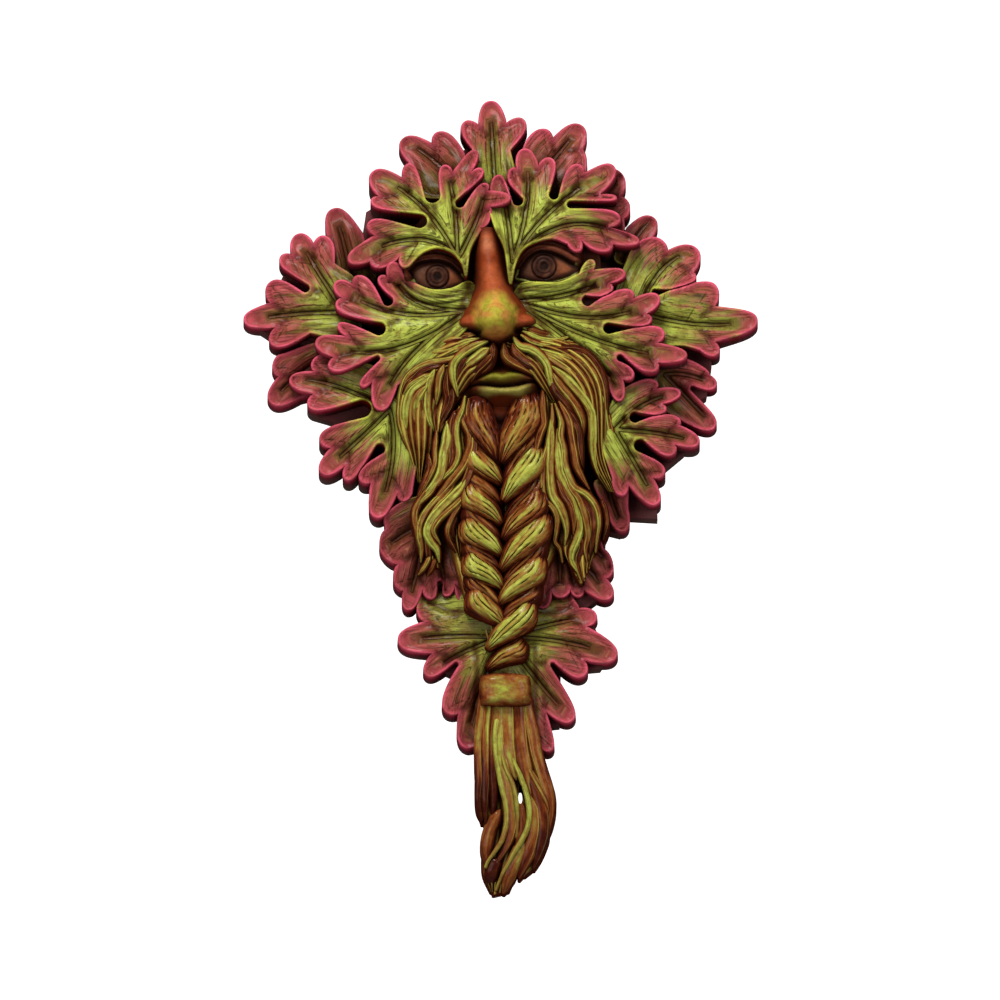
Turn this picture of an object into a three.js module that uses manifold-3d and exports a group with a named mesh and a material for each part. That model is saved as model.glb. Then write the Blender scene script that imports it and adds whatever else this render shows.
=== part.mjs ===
import * as THREE from 'three';
import { mergeVertices } from 'three/addons/utils/BufferGeometryUtils.js';
import Module from 'manifold-3d';

// A green man wall mask, cast in one piece: a leaf-covered face with a moustache, a long
// beard plaited down the middle, a tie and a tassel. Millimetres. +Z is up, the front looks
// along -Y, and the flat back lies in the plane y = 0, against the wall.

// Overall size
const maskHeight = 326;
const maskWidth = 206;

// The carving is drawn on a sheet of small squares: columns run right from the middle of
// the face, rows run up from the origin, and rises count out from the wall.
const sheetRows = 322;
const sheetColumns = 206;
const across = maskWidth / sheetColumns;
const up = maskHeight / sheetRows;

// How far each layer stands out from the wall: at a leaf's heart, and at its tips
const outerHeart = 24;
const outerTips = 15;
const middleHeart = 30.5;
const middleTips = 21;
const frontHeart = 43;
const frontTips = 30;
const lowerHeart = 24;
const lowerTips = 15;
const behindHeart = 18;
const behindTips = 13;
const backingRise = 9;

// The carving of a leaf: how deep its veins lie, how far they run towards the tips, how much
// the ribs beside them slant, and how far its walls lean out at the tips
const veinDepth = 2;
const veinRun = 0.9;
const ribSlant = 0.35;
const wallDraft = 0.5;

// The fingers of a leaf: how square their shoulders are, the least and the most half width
// of a tip, the most as a share of the flank too, and how far a flank runs before it turns
const shoulders = 0.66;
const narrowTip = 1.6;
const wideTip = 4.5;
const tipShare = 0.33;
const straightRun = 8;
const flankPull = 0.55;
const leastRise = 0.3;

// The face
const faceRise = 34;
const noseBridgeRise = 43;
const noseTipRise = 58;
const eyeRise = 37.5;
const lipRise = 45;

// The beard, plait, tie and tassel
const beardRise = 40;
const beardTipRise = 26;
const plaitRise = 42;
const plaitFootRise = 30;
const tieRise = 29;
const tasselRise = 26;
const tasselTipRise = 17;
const strandDepth = 2.2;

// The moulded recess that hooks over a nail or screw head in the wall
const recessWidth = 12;
const recessHeight = 16;
const recessDepth = 8;
const recessTop = 70;

// How closely the carving is faceted
const leafStep = 8;
const veinStep = 12;
const behindWall = -2;

const wasm = await Module();
wasm.setup();

// Plane vectors [column, row]
const plus = (p, q) => [p[0] + q[0], p[1] + q[1]];
const minus = (p, q) => [p[0] - q[0], p[1] - q[1]];
const times = (p, k) => [p[0] * k, p[1] * k];
const length = (p) => Math.hypot(p[0], p[1]);
const unit = (p) => times(p, 1 / (length(p) || 1));
const between = (p, q, t) => plus(times(p, 1 - t), times(q, t));
const leftOf = (p) => [-p[1], p[0]];
const along = (p, q) => p[0] * q[0] + p[1] * q[1];
const blend = (a, b, t) => a + (b - a) * t;

// A smooth curve through the given points, one point for each fraction of its length
function curveThrough(points, fractions) {
  const knots = points.map(([column, row]) => new THREE.Vector3(column, row, 0));
  const curve = new THREE.CatmullRomCurve3(knots, false, 'centripetal');
  return fractions.map((t) => curve.getPointAt(t)).map((point) => [point.x, point.y]);
}

function steps(count) {
  return Array.from({ length: count + 1 }, (_, i) => i / count);
}

// One side of a finger, from the notch beside it to its rounded tip. The side is 1 for the
// left of the finger and -1 for its right.
function flank(notch, tip, axis, side) {
  const reach = minus(tip, notch);
  const far = length(reach);
  const rise = Math.max(along(reach, axis), leastRise * far);
  const spread = Math.max(Math.abs(along(reach, leftOf(axis))) * shoulders, narrowTip);
  const bluntness = Math.min(spread, tipShare * far, wideTip);
  const lean = Math.min(1, straightRun / far);
  const start = unit(plus(times(axis, lean), times(unit(reach), 1 - lean)));
  const a = plus(notch, times(start, flankPull * rise));
  const b = plus(tip, times(leftOf(axis), side * bluntness));
  const curve = new THREE.CubicBezierCurve(...[notch, a, b, tip].map((p) => new THREE.Vector2(...p)));
  return curve.getPoints(Math.max(2, Math.round(far / leafStep))).map((p) => [p.x, p.y]);
}

// The points round a leaf, clockwise. A leaf's edge lists tips and the notches between them
// in turn; a notch with a third value is rounded to that radius. Each point also says how
// near a tip it is, from 0 to 1, and which tip it belongs to.
function outline({ edge, root }) {
  const base = curveThrough(root, steps(root.length));
  const points = [];
  for (let i = 0; i < edge.length; i += 2) {
    const tip = edge[i];
    const before = i > 0 ? edge[i - 1] : base[base.length - 1];
    const after = i + 1 < edge.length ? edge[i + 1] : base[0];
    const axis = unit(times(plus(unit(minus(before, tip)), unit(minus(after, tip))), -1));
    const sideOf = (notch, other, side) => {
      if (notch.length < 3 || !other) return [notch[0], notch[1]];
      const mouth = unit(minus(between(tip, other, 0.5), notch));
      return plus(notch, times(leftOf(mouth), -side * notch[2]));
    };
    const rising = flank(sideOf(before, edge[i - 2], 1), tip, axis, 1);
    const falling = flank(sideOf(after, edge[i + 2], -1), tip, axis, -1).reverse();
    rising.slice(0, -1).forEach((p, k) => points.push({ p, near: k / (rising.length - 1), tip: i }));
    falling.slice(0, -1).forEach((p, k) => points.push({ p, near: 1 - k / (falling.length - 1), tip: i }));
    if (i + 1 < edge.length && after.length > 2) {
      const mouth = unit(minus(between(tip, edge[i + 2], 0.5), after));
      for (const t of [0, 1 / 3, 2 / 3]) {
        const turn = plus(times(leftOf(mouth), Math.cos(Math.PI * t)), times(mouth, -Math.sin(Math.PI * t)));
        points.push({ p: plus(after, times(turn, after[2])), near: 0, tip: i });
      }
    } else if (i + 1 >= edge.length) {
      base.slice(0, -1).forEach((p) => points.push({ p, near: 0, tip: i }));
    }
  }
  return points;
}

// A closed body from a carved front, given as points with a rise and triangles between
// them: the front, a copy of it behind the wall plane, and walls round the rim.
function solidFrom(front, faces, rim, foot) {
  const place = (column, row, rise) => [column * across, -rise, row * up];
  const corners = front.map(({ p, rise }) => place(p[0], p[1], rise));
  const count = corners.length;
  front.forEach(({ p }) => corners.push(place(p[0], p[1], behindWall)));
  rim.forEach((index, k) => { corners[count + index] = place(foot[k][0], foot[k][1], behindWall); });
  const indices = [];
  faces.forEach(([a, b, c]) => indices.push(a, b, c, count + a, count + c, count + b));
  rim.forEach((a, k) => {
    const b = rim[(k + 1) % rim.length];
    indices.push(b, a, count + a, b, count + a, count + b);
  });
  let volume = 0;
  for (let i = 0; i < indices.length; i += 3) {
    const [a, b, c] = [0, 1, 2].map((k) => new THREE.Vector3(...corners[indices[i + k]]));
    volume += a.dot(b.cross(c)) / 6;
  }
  if (volume < 0) indices.reverse();
  return joinable(corners.flat(), indices);
}

function joinable(positions, indices) {
  return new wasm.Manifold(new wasm.Mesh({
    numProp: 3,
    vertProperties: new Float32Array(positions),
    triVerts: new Uint32Array(indices),
  }));
}

function solid(source) {
  const bare = source.clone();
  bare.deleteAttribute('normal');
  bare.deleteAttribute('uv');
  const geometry = mergeVertices(bare, 1e-4);
  return joinable(geometry.attributes.position.array, geometry.index.array);
}

// A lobed leaf. Its blade is carved between the rim and the veins, which run from the heart
// past a bend to the main tips; the walls below the rim lean outwards to the wall.
function leaf({ heart, heartRise, tipRise, edge, veins, root }) {
  const rim = outline({ edge, root });
  const front = [{ p: heart, rise: heartRise - veinDepth }];
  const chain = [0];
  const branches = veins.map(([tip, bend]) => {
    const end = edge[2 * tip];
    const pull = minus(times(bend, 2), times(plus(heart, end), 0.5));
    const count = Math.max(3, Math.round(length(minus(end, heart)) / veinStep));
    const stations = steps(count).map((t) => {
      const s = t * veinRun;
      return between(between(heart, pull, s), between(pull, end, s), s);
    });
    const first = front.length;
    stations.slice(1).forEach((p, k) => {
      const t = (k + 1) / count;
      front.push({ p, rise: blend(heartRise, tipRise, t) - veinDepth * (1 - 0.5 * t) });
    });
    const out = stations.slice(1).map((_, k) => first + k);
    const top = chain.length + count - 1;
    chain.push(...out, ...out.slice(0, -1).reverse(), 0);
    return { tip: 2 * tip, stations, count, top };
  });
  chain.pop();

  // The rim is parted between the veins at the notches nearest the heart.
  const nearest = (points, target) => points.reduce((best, p, k) =>
    (length(minus(p, target)) < length(minus(points[best], target)) ? k : best), 0);
  const tipPlace = branches.map(({ tip }) => rim.findIndex((r) => r.tip === tip && r.near === 1));
  const parting = branches.map((_, k) => {
    const from = tipPlace[k];
    const to = tipPlace[k + 1] ?? rim.length + tipPlace[0];
    const span = Array.from({ length: to - from }, (__, j) => (from + j) % rim.length);
    return from + nearest(span.map((j) => rim[j].p), heart);
  });
  const turned = parting[parting.length - 1] % rim.length;
  const ring = [...rim.slice(turned), ...rim.slice(0, turned)];

  // Each rim point looks down a rib to its place along the veins.
  const places = [];
  branches.forEach((branch, k) => {
    const start = k === 0 ? 0 : parting[k - 1] + (rim.length - turned);
    const end = parting[k] + (rim.length - turned);
    const lo = start % rim.length;
    const hi = k === branches.length - 1 ? rim.length : end % rim.length;
    const peak = (tipPlace[k] + rim.length - turned) % rim.length;
    const shares = [];
    for (let j = lo; j < hi; j += 1) {
      const hit = nearest(branch.stations, ring[j].p);
      const off = length(minus(branch.stations[hit], ring[j].p));
      shares.push(Math.max(0, hit - off * ribSlant / veinStep));
    }
    for (let j = lo + 1; j <= peak; j += 1) {
      shares[j - lo] = Math.max(shares[j - lo], shares[j - lo - 1]);
    }
    for (let j = hi - 2; j >= peak; j -= 1) {
      shares[j - lo] = Math.max(shares[j - lo], shares[j - lo + 1] ?? 0);
    }
    for (let j = lo; j < hi; j += 1) {
      const share = j === peak ? branch.count : shares[j - lo];
      places.push(j <= peak ? branch.top - branch.count + share : branch.top + branch.count - share);
    }
  });
  places[0] = 0;

  const at = (place) => {
    const k = Math.floor(place) % chain.length;
    const next = (k + 1) % chain.length;
    const a = front[chain[k]];
    const b = front[chain[next]];
    return { p: between(a.p, b.p, place % 1), rise: blend(a.rise, b.rise, place % 1) };
  };
  const rimFirst = front.length;
  const foot = [];
  ring.forEach(({ p, near }, j) => {
    const vein = at(places[j]);
    front.push({ p, rise: vein.rise + veinDepth });
    foot.push(plus(p, times(unit(minus(p, vein.p)), wallDraft * near)));
  });

  // The blade: triangles fanned between the rim and the veins
  const faces = [];
  let step = 0;
  ring.forEach((_, j) => {
    const last = j + 1 === ring.length;
    const target = last ? chain.length : Math.round((places[j] + places[j + 1]) / 2);
    while (step < target) {
      faces.push([rimFirst + j, chain[(step + 1) % chain.length], chain[step % chain.length]]);
      step += 1;
    }
    faces.push([rimFirst + j, rimFirst + (last ? 0 : j + 1), chain[step % chain.length]]);
  });
  return solidFrom(front, faces, ring.map((_, j) => rimFirst + j), foot);
}

// A band between a left and a right edge, such as a lock of hair: it arches across, with a
// valley between its strands. The rises are [at the edges, at the crest], from end to end.
function band({ left, right, rises, strands = 1, valley = 0, rows = 6, square = 2 }) {
  const a = curveThrough(left, steps(rows));
  const b = curveThrough(right, steps(rows));
  const columns = Math.max(4, strands * 2);
  const front = [];
  steps(rows).forEach((s, i) => {
    const place = s * (rises.length - 1);
    const k = Math.min(Math.floor(place), rises.length - 2);
    const side = blend(rises[k][0], rises[k + 1][0], place - k);
    const crest = blend(rises[k][1], rises[k + 1][1], place - k);
    steps(columns).forEach((t, j) => {
      const arch = 1 - Math.abs(2 * t - 1) ** square;
      const inner = j > 0 && j < columns;
      const dip = inner ? valley * (1 + Math.cos(2 * Math.PI * strands * t)) / 2 : 0;
      front.push({ p: between(a[i], b[i], t), rise: blend(side, crest, arch) - dip });
    });
  });
  const wide = columns + 1;
  const faces = [];
  for (let i = 0; i < rows; i += 1) {
    for (let j = 0; j < columns; j += 1) {
      const c = i * wide + j;
      faces.push([c, c + 1, c + wide], [c + 1, c + wide + 1, c + wide]);
    }
  }
  const rim = [
    ...steps(columns).map((_, j) => j),
    ...steps(rows).slice(1).map((_, i) => (i + 1) * wide + columns),
    ...steps(columns).slice(1).map((_, j) => rows * wide + columns - 1 - j),
    ...steps(rows).slice(1, -1).map((_, i) => (rows - 1 - i) * wide),
  ];
  return solidFrom(front, faces, rim, rim.map((index) => front[index].p));
}

// A round or oval mound
function mound({ centre, reach, rises, rings = 3, spokes = 12 }) {
  const front = [{ p: centre, rise: rises[1] }];
  const faces = [];
  for (let i = 1; i <= rings; i += 1) {
    for (let j = 0; j < spokes; j += 1) {
      const turn = (j / spokes) * 2 * Math.PI;
      const t = i / rings;
      const p = plus(centre, [Math.cos(turn) * reach[0] * t, Math.sin(turn) * reach[1] * t]);
      front.push({ p, rise: blend(rises[0], rises[1], Math.sqrt(1 - t * t)) });
      const next = (j + 1) % spokes;
      const outer = 1 + (i - 1) * spokes;
      const inner = outer - spokes;
      if (i === 1) faces.push([0, outer + j, outer + next]);
      else faces.push([inner + j, outer + j, outer + next], [inner + j, outer + next, inner + next]);
    }
  }
  const rim = front.slice(-spokes).map((_, j) => front.length - spokes + j);
  return solidFrom(front, faces, rim, rim.map((index) => front[index].p));
}

// The layers of leaves, from the wall forwards
const behind = { heartRise: behindHeart, tipRise: behindTips };
const lower = { heartRise: lowerHeart, tipRise: lowerTips };
const outer = { heartRise: outerHeart, tipRise: outerTips };
const middle = { heartRise: middleHeart, tipRise: middleTips };
const foremost = { heartRise: frontHeart, tipRise: frontTips };

// The leaves. Veins are [which tip, the bend on the way].
const leaves = [
  // The outermost leaves, behind the rest, clockwise from the crown
  { ...outer, heart: [-2, 126], veins: [[1, [-3, 142]]],
    edge: [[-14.5, 151], [-8.5, 150], [-4, 160], [2.5, 150.8], [9.5, 152]],
    root: [[4, 139.5], [6, 124], [-12, 124], [-11, 140]] },
  { ...outer, heart: [14, 126], veins: [[1, [23, 138]]],
    edge: [[18, 148.2], [21, 144.3], [32.5, 150.3], [33, 140], [34.5, 136.5]],
    root: [[33, 128], [20, 118], [8, 122], [9.5, 140]] },
  { ...outer, heart: [32, 114], veins: [[0, [42, 124]]],
    edge: [[49, 130.5], [47.8, 121], [51.7, 118]],
    root: [[49.5, 112], [48, 106], [30, 110], [30, 124], [40, 132]] },
  { ...behind, heart: [50, 96], veins: [[0, [55, 106]]],
    edge: [[61.5, 113.5]],
    root: [[61, 105], [58, 92], [46, 96], [51, 109]] },
  { ...outer, heart: [56, 74], veins: [[1, [65, 92]], [4, [80, 70]]],
    edge: [[63, 104.5], [67, 99.3], [79, 100.5], [77.5, 91], [78.2, 88], [62.3, 82, 2.3],
      [85.8, 86], [86, 77], [103, 72], [86, 62.8], [87.3, 58]],
    root: [[80, 59.5], [72, 61], [54, 60], [46, 78], [52, 98]] },
  { ...behind, heart: [66, 50], veins: [[1, [76, 50]], [2, [77, 39]]],
    edge: [[82.5, 52.3], [84, 50], [86.5, 46], [77.3, 44.5, 1.8], [86, 29.5]],
    root: [[74, 31], [64, 38], [62, 52], [72, 56]] },
  { ...behind, heart: [-70, 56], veins: [[0, [-82, 49]]],
    edge: [[-92, 39.5], [-88.5, 49.5], [-91, 53]],
    root: [[-88, 58], [-70, 62], [-64, 46], [-80, 41]] },
  { ...outer, heart: [-62, 74], veins: [[1, [-82, 74]], [4, [-73, 91]]],
    edge: [[-91.5, 62], [-90, 68.7], [-102.5, 72], [-92, 78.5], [-92.5, 86.3], [-78, 84, 2],
      [-88, 97], [-83.5, 98], [-81, 106.5], [-74.8, 102], [-70.5, 105.5]],
    root: [[-66.5, 94], [-56, 84], [-58, 63], [-76, 66]] },
  { ...behind, heart: [-60, 88], veins: [[0, [-62.5, 102]]],
    edge: [[-67, 117]],
    root: [[-55, 106.5], [-50, 88], [-66, 86], [-69, 103]] },
  { ...outer, heart: [-17, 124], veins: [[0, [-27, 136]]],
    edge: [[-39.5, 143], [-27, 142.3], [-24.5, 147]],
    root: [[-15, 139], [-10, 124], [-30, 120], [-36.5, 135]] },

  // The leaves beside the beard
  { ...middle, heart: [46, 26], veins: [[1, [58, 37]], [4, [65, 25]], [7, [54, 13]]],
    edge: [[62.5, 46], [62.5, 43], [72, 42], [64.8, 37], [66.3, 34.6], [54, 31, 1.6],
      [71.5, 31], [71.8, 28.3], [79.5, 22], [69.8, 20.8], [69.5, 17], [56, 19.8, 1.6],
      [65.7, 9.3], [61, 7.5], [63, -2.5], [51.3, 4.5], [48.5, 0.3]],
    root: [[45, 7], [40, 24], [46, 40]] },
  { ...middle, heart: [-44, 34], veins: [[1, [-43, 14]], [4, [-56, 23]], [7, [-68, 45]]],
    edge: [[-38.5, -1.8], [-41, 1.5], [-49.5, -8], [-51.5, 5.5], [-56, 6.8], [-48, 18.5, 1.7],
      [-61.5, 6.8], [-61.8, 12.5], [-71.5, 10], [-67.5, 19.5], [-72, 23], [-55, 34.5, 2.6],
      [-76.5, 36], [-74.5, 41], [-84, 47], [-74, 50], [-75, 54]],
    root: [[-66, 57], [-44, 48], [-38, 36], [-33, 20], [-35, 2]] },

  // The leaves behind the beard's ends and behind the tie
  { ...lower, heart: [43, 6], veins: [[0, [45, -2]]],
    edge: [[49.5, -12.5]],
    root: [[41, -3], [38, 6], [50, 8], [51, -4]] },
  { ...lower, heart: [24, -10],
    veins: [[0, [36, -18]], [1, [34, -26]], [2, [28, -26]], [3, [24, -26]]],
    edge: [[45, -28.5], [42, -31.5], [44.5, -39], [33.5, -36], [31.5, -38.8], [28.2, -35.3],
      [24.5, -39], [20.5, -36.5], [17, -43.5]],
    root: [[13, -36], [12, -10], [36, -6], [41, -20]] },
  { ...lower, heart: [-28, -10], veins: [[1, [-24, -24]], [3, [-33, -28]], [5, [-38, -14]]],
    edge: [[-13.3, -42.3], [-18, -34], [-21.5, -38.5], [-24, -33.7, 0.8], [-27.3, -39.8],
      [-31, -36], [-37, -44], [-38.5, -36.5], [-42, -34], [-40.5, -28.3], [-47.5, -20.5]],
    root: [[-46.6, -13.5], [-46, -6], [-30, 0], [-8, -8], [-9, -36]] },
  { ...lower, heart: [2, -56],
    veins: [[1, [20, -50]], [2, [24, -57]], [4, [16, -74]], [6, [-8, -78]], [8, [-14, -61]],
      [9, [-20, -55]]],
    edge: [[30, -40.5], [31.5, -43.5], [38.5, -46.5], [34.5, -50.8], [46.5, -62.5], [33.5, -64.5],
      [33.7, -70.5], [20.5, -66.7, 1.7], [29, -88], [18.3, -85], [20, -100.5], [5, -84],
      [-13.5, -99], [-16.5, -85.5], [-22, -84.5], [-17, -66.3, 1.7], [-29.5, -70], [-27, -61.7],
      [-40.5, -56.3], [-29.5, -48.8], [-33, -44.5]],
    root: [[-24, -42], [-8, -38], [14, -38]] },

  // The leaves that make the brows and the cheeks
  { ...foremost, heart: [-17, 92],
    veins: [[2, [-34, 101]], [5, [-31, 114]], [7, [-18.5, 116]], [10, [-9, 110]]],
    edge: [[-38.8, 89.8], [-38.5, 97.3], [-48, 90], [-52, 93], [-60.5, 93.3], [-50, 103],
      [-52.8, 107.5], [-32, 108, 1.7], [-50.5, 117], [-48.5, 118.8], [-50, 127.3], [-39, 126],
      [-36.5, 131.7], [-27, 118.5, 1.8], [-22.3, 131.5], [-19, 128.5], [-9.5, 137],
      [-11.5, 128.7], [-7, 129.5], [-16, 115.5, 1.2], [-5.5, 123.5], [-5, 120.3], [4, 116.5],
      [-4.5, 114], [-3.5, 112.5]],
    root: [[-7, 105.5], [-12, 96], [-13.5, 85], [-15, 90], [-19, 94.8], [-25, 97], [-31, 95.2],
      [-35, 91.5]] },
  { ...foremost, heart: [5, 91],
    veins: [[0, [3, 110]], [2, [11, 117]], [5, [20, 112]], [8, [28, 107]]],
    edge: [[-0.5, 127.5], [7.2, 116.5, 1.3], [4, 129.5], [6.8, 130], [9.5, 138], [15.3, 131],
      [20.3, 134], [21.5, 118.8, 1.2], [31, 131.5], [33.8, 128], [45.5, 131], [40, 119.5],
      [46.5, 118], [28.3, 115, 1], [48, 110], [43.5, 106.3], [55.5, 101], [45, 99.8],
      [43, 96.8], [32, 101.5], [31.5, 96]],
    root: [[27, 99], [21, 101], [14, 99.3], [9, 96], [6, 90], [4, 82], [2, 96], [-1.5, 104],
      [-4, 112]] },
  { ...foremost, heart: [-12, 72],
    veins: [[0, [-36, 54]], [3, [-44, 57]], [6, [-42, 72]], [9, [-34, 77]]],
    edge: [[-48, 33.5], [-51, 44.5], [-55.5, 43], [-49, 53.5, 0.8], [-68, 50], [-66.5, 54.5],
      [-73.5, 60.8], [-61, 62.5], [-64.5, 67.5], [-48.3, 65.3, 1.6], [-65.5, 75.5], [-63, 78.2],
      [-66, 84.2], [-59, 83.7], [-57, 87], [-44.8, 76.5, 1.3], [-48.3, 86.3], [-45, 86.2], [-43, 92]],
    root: [[-38.5, 87], [-34, 83.5], [-27, 80.3], [-19, 80.5], [-12, 83.5], [-9, 78], [-12, 66],
      [-28, 52], [-41, 43]] },
  { ...foremost, heart: [6, 76],
    veins: [[1, [26, 79]], [4, [38, 70]], [7, [42, 60]], [10, [38, 52]]],
    edge: [[37, 93], [37.3, 89], [50, 88.3], [43.8, 84], [45, 81.8], [35, 76.5, 1.4],
      [52.5, 81], [53.3, 77.8], [63.5, 78.8], [58.5, 71.8], [60.5, 69.3], [43.5, 65.5, 1.4],
      [65.3, 64.8], [63, 60], [74.5, 55.3], [63, 52.3], [62.3, 49], [48, 53.8, 0.9],
      [53.3, 46.8], [49, 45.5], [48, 37.3]],
    root: [[42, 46], [30, 54], [10, 64], [5, 76], [8, 82.5], [16, 83], [24, 83.5], [32, 87.5]] },
];

// Locks of hair, as bands from their upper ends to their lower ends. Where two locks meet,
// one laps over the other.
const lapOver = 0.7;
const rightPartingLine = [[20, 40], [22, 30], [22, 19], [22, 9], [24, 1.5], [28, -5], [31, -12],
  [30, -19.5], [29, -27], [33, -35]];
const beardFall = [[beardRise - 5, beardRise], [beardRise - 8, beardRise - 3],
  [beardTipRise, beardTipRise + 7], [beardTipRise - 6, beardTipRise]];
const locks = [
  // The mass of the beard behind its locks
  { left: [[-22, 44], [-25, 20], [-26, 4], [-20, -20], [-14, -40], [-7, -60]],
    right: [[22, 44], [26, 20], [28, 4], [24, -18], [15, -38], [11, -60]],
    rises: [[28, 30], [26, 30], [20, 26], [16, 23]] },
  // The left lock, and the shadowed one inside it
  { left: [[-22, 27], [-25.5, 9.5], [-31, 1], [-35, -9.5], [-33, -18], [-31.5, -25]],
    right: [[-13, 37], [-11, 22], [-10.5, 9.5], [-17, -3], [-24.5, -13.5], [-24, -28]],
    strands: 4, rises: beardFall, rows: 8 },
  { left: [[-17, -3], [-22.5, -14], [-16.5, -25]], right: [[-11, 3], [-14, -12], [-15.5, -25]],
    strands: 2, rises: [[28, 32], [21, 25]], rows: 5 },
  // The right lock, parted down the middle
  { left: [[16, 41], [15, 22], [15, 12], [18, -2.5], [23, -11], [22.5, -18], [27, -25]],
    right: rightPartingLine, strands: 2, rises: beardFall, rows: 8 },
  { left: rightPartingLine.map(([column, row]) => [column - lapOver, row]),
    right: [[20, 41], [27, 31], [32, 14], [34, 6], [40.5, -8], [39.5, -18], [36, -27]],
    strands: 3, rises: beardFall, rows: 8 },
  // The left half of the moustache: the long lock, the curl over it and the two at the lip
  { left: [[-22, 53], [-31, 51], [-38, 44], [-41, 35], [-40, 25], [-36, 15], [-33, 6]],
    right: [[-16, 47], [-21, 42], [-25, 35], [-26, 27], [-27, 17], [-31, 5]],
    strands: 4, rises: [[37, 43], [36, 42], [30, 36], [25, 29]], rows: 7 },
  { left: [[-7, 61], [-15, 62], [-22, 62], [-30, 57.5]],
    right: [[-8, 57], [-16, 54.5], [-24, 52.5], [-32, 53]],
    strands: 2, rises: [[39, 44], [38, 44], [33, 36]], rows: 5 },
  { left: [[-3, 58], [-10, 56], [-17, 50], [-20, 43], [-19, 38]],
    right: [[-2, 51], [-6, 47], [-11, 44.5], [-15, 40], [-17.5, 37]],
    strands: 2, rises: [[42, 47], [40, 46], [34, 38]], rows: 5 },
  { left: [[-22, 50.5], [-28, 40.5], [-28, 32], [-26, 24]],
    right: [[-16, 48.5], [-18, 40], [-20, 33], [-23, 24]],
    strands: 2, rises: [[36, 42], [32, 38]], rows: 5 },
  // The right half, the same way
  { left: [[12, 62], [24, 60.5], [34, 55.5], [41, 46.5], [43, 36], [43, 17], [47, 1]],
    right: [[12, 54.5], [20, 49.5], [27, 42.5], [32, 34.5], [34.5, 24], [37, 11], [43, 2]],
    strands: 4, rises: [[38, 44], [37, 43], [30, 36], [24, 28]], rows: 7 },
  { left: [[8, 62.5], [15, 61], [24, 61.5], [29, 61]], right: [[12, 58], [18, 56], [25, 56], [31, 57.5]],
    strands: 2, rises: [[39, 45], [34, 38]], rows: 4 },
  { left: [[3, 59], [9, 57], [15, 53], [20, 46], [25, 36]],
    right: [[1.5, 53], [5, 49], [11, 47], [15, 43], [21, 35]],
    strands: 2, rises: [[42, 47], [40, 46], [34, 38]], rows: 5 },
];

// The plait's lobes, each from its outer end down to the middle
const plaitLobes = [
  [[-9, 33], [-1, 14]], [[13, 35], [1, 13]], [[-10, 17], [0, 5]], [[13, 17], [2, -2]],
  [[-11, 1], [0, -11]], [[15, -1], [2, -17]], [[-12, -11], [0, -23]], [[17, -8], [1, -29]],
  [[-11, -25], [1, -36]], [[15, -26], [0, -42]], [[-9, -39], [1, -51]], [[12, -44], [-4, -60]],
];
const lobeWidth = 11;
const lobeBow = 3;
const lobePlaces = [0, 0.3, 0.65, 1];
const lobeShares = [0.45, 1, 0.9, 0.3];
const lobeHeight = 8;
const plaitTop = 40;
const plaitLength = 100;

// The strands of the tassel
const middleSeam = [[6, -83], [8.5, -96], [8.5, -106], [8, -115], [11, -123.5], [9.5, -134],
  [8, -142], [6, -149]];
const tasselFall = [[tasselRise - 6, tasselRise], [tasselRise - 7, tasselRise - 1],
  [tasselTipRise - 2, tasselTipRise + 3], [tasselTipRise - 6, tasselTipRise - 3]];
const tassel = [
  { left: [[-8, -83], [-9.5, -96], [-9.8, -110], [-9.5, -123], [-6, -130], [-7, -139], [-7, -148],
      [-4, -155]],
    right: [[-2, -83], [-3, -96], [-2.5, -108], [1, -120], [1, -127], [0.5, -138], [-1, -148],
      [-2.5, -156]],
    strands: 2, rises: tasselFall, rows: 8 },
  { left: [[-3, -83], [-4, -96], [-4, -108], [-1, -118], [0, -127], [-1, -138], [-3, -148], [-3, -156.5]],
    right: [...middleSeam.slice(0, -1), [3.5, -155]],
    strands: 2, rises: tasselFall, rows: 8 },
  { left: middleSeam.map(([column, row]) => [column - lapOver, row]),
    right: [[12.5, -83], [15, -94], [18.5, -107], [21.5, -118], [20, -130.5], [16.5, -141], [13.5, -146],
      [10, -149]],
    strands: 3, rises: tasselFall, rows: 8 },
];
const slitWidth = 1.2;
const slitHeight = 7;
const slitPlace = [8.1, -118.4];

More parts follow.
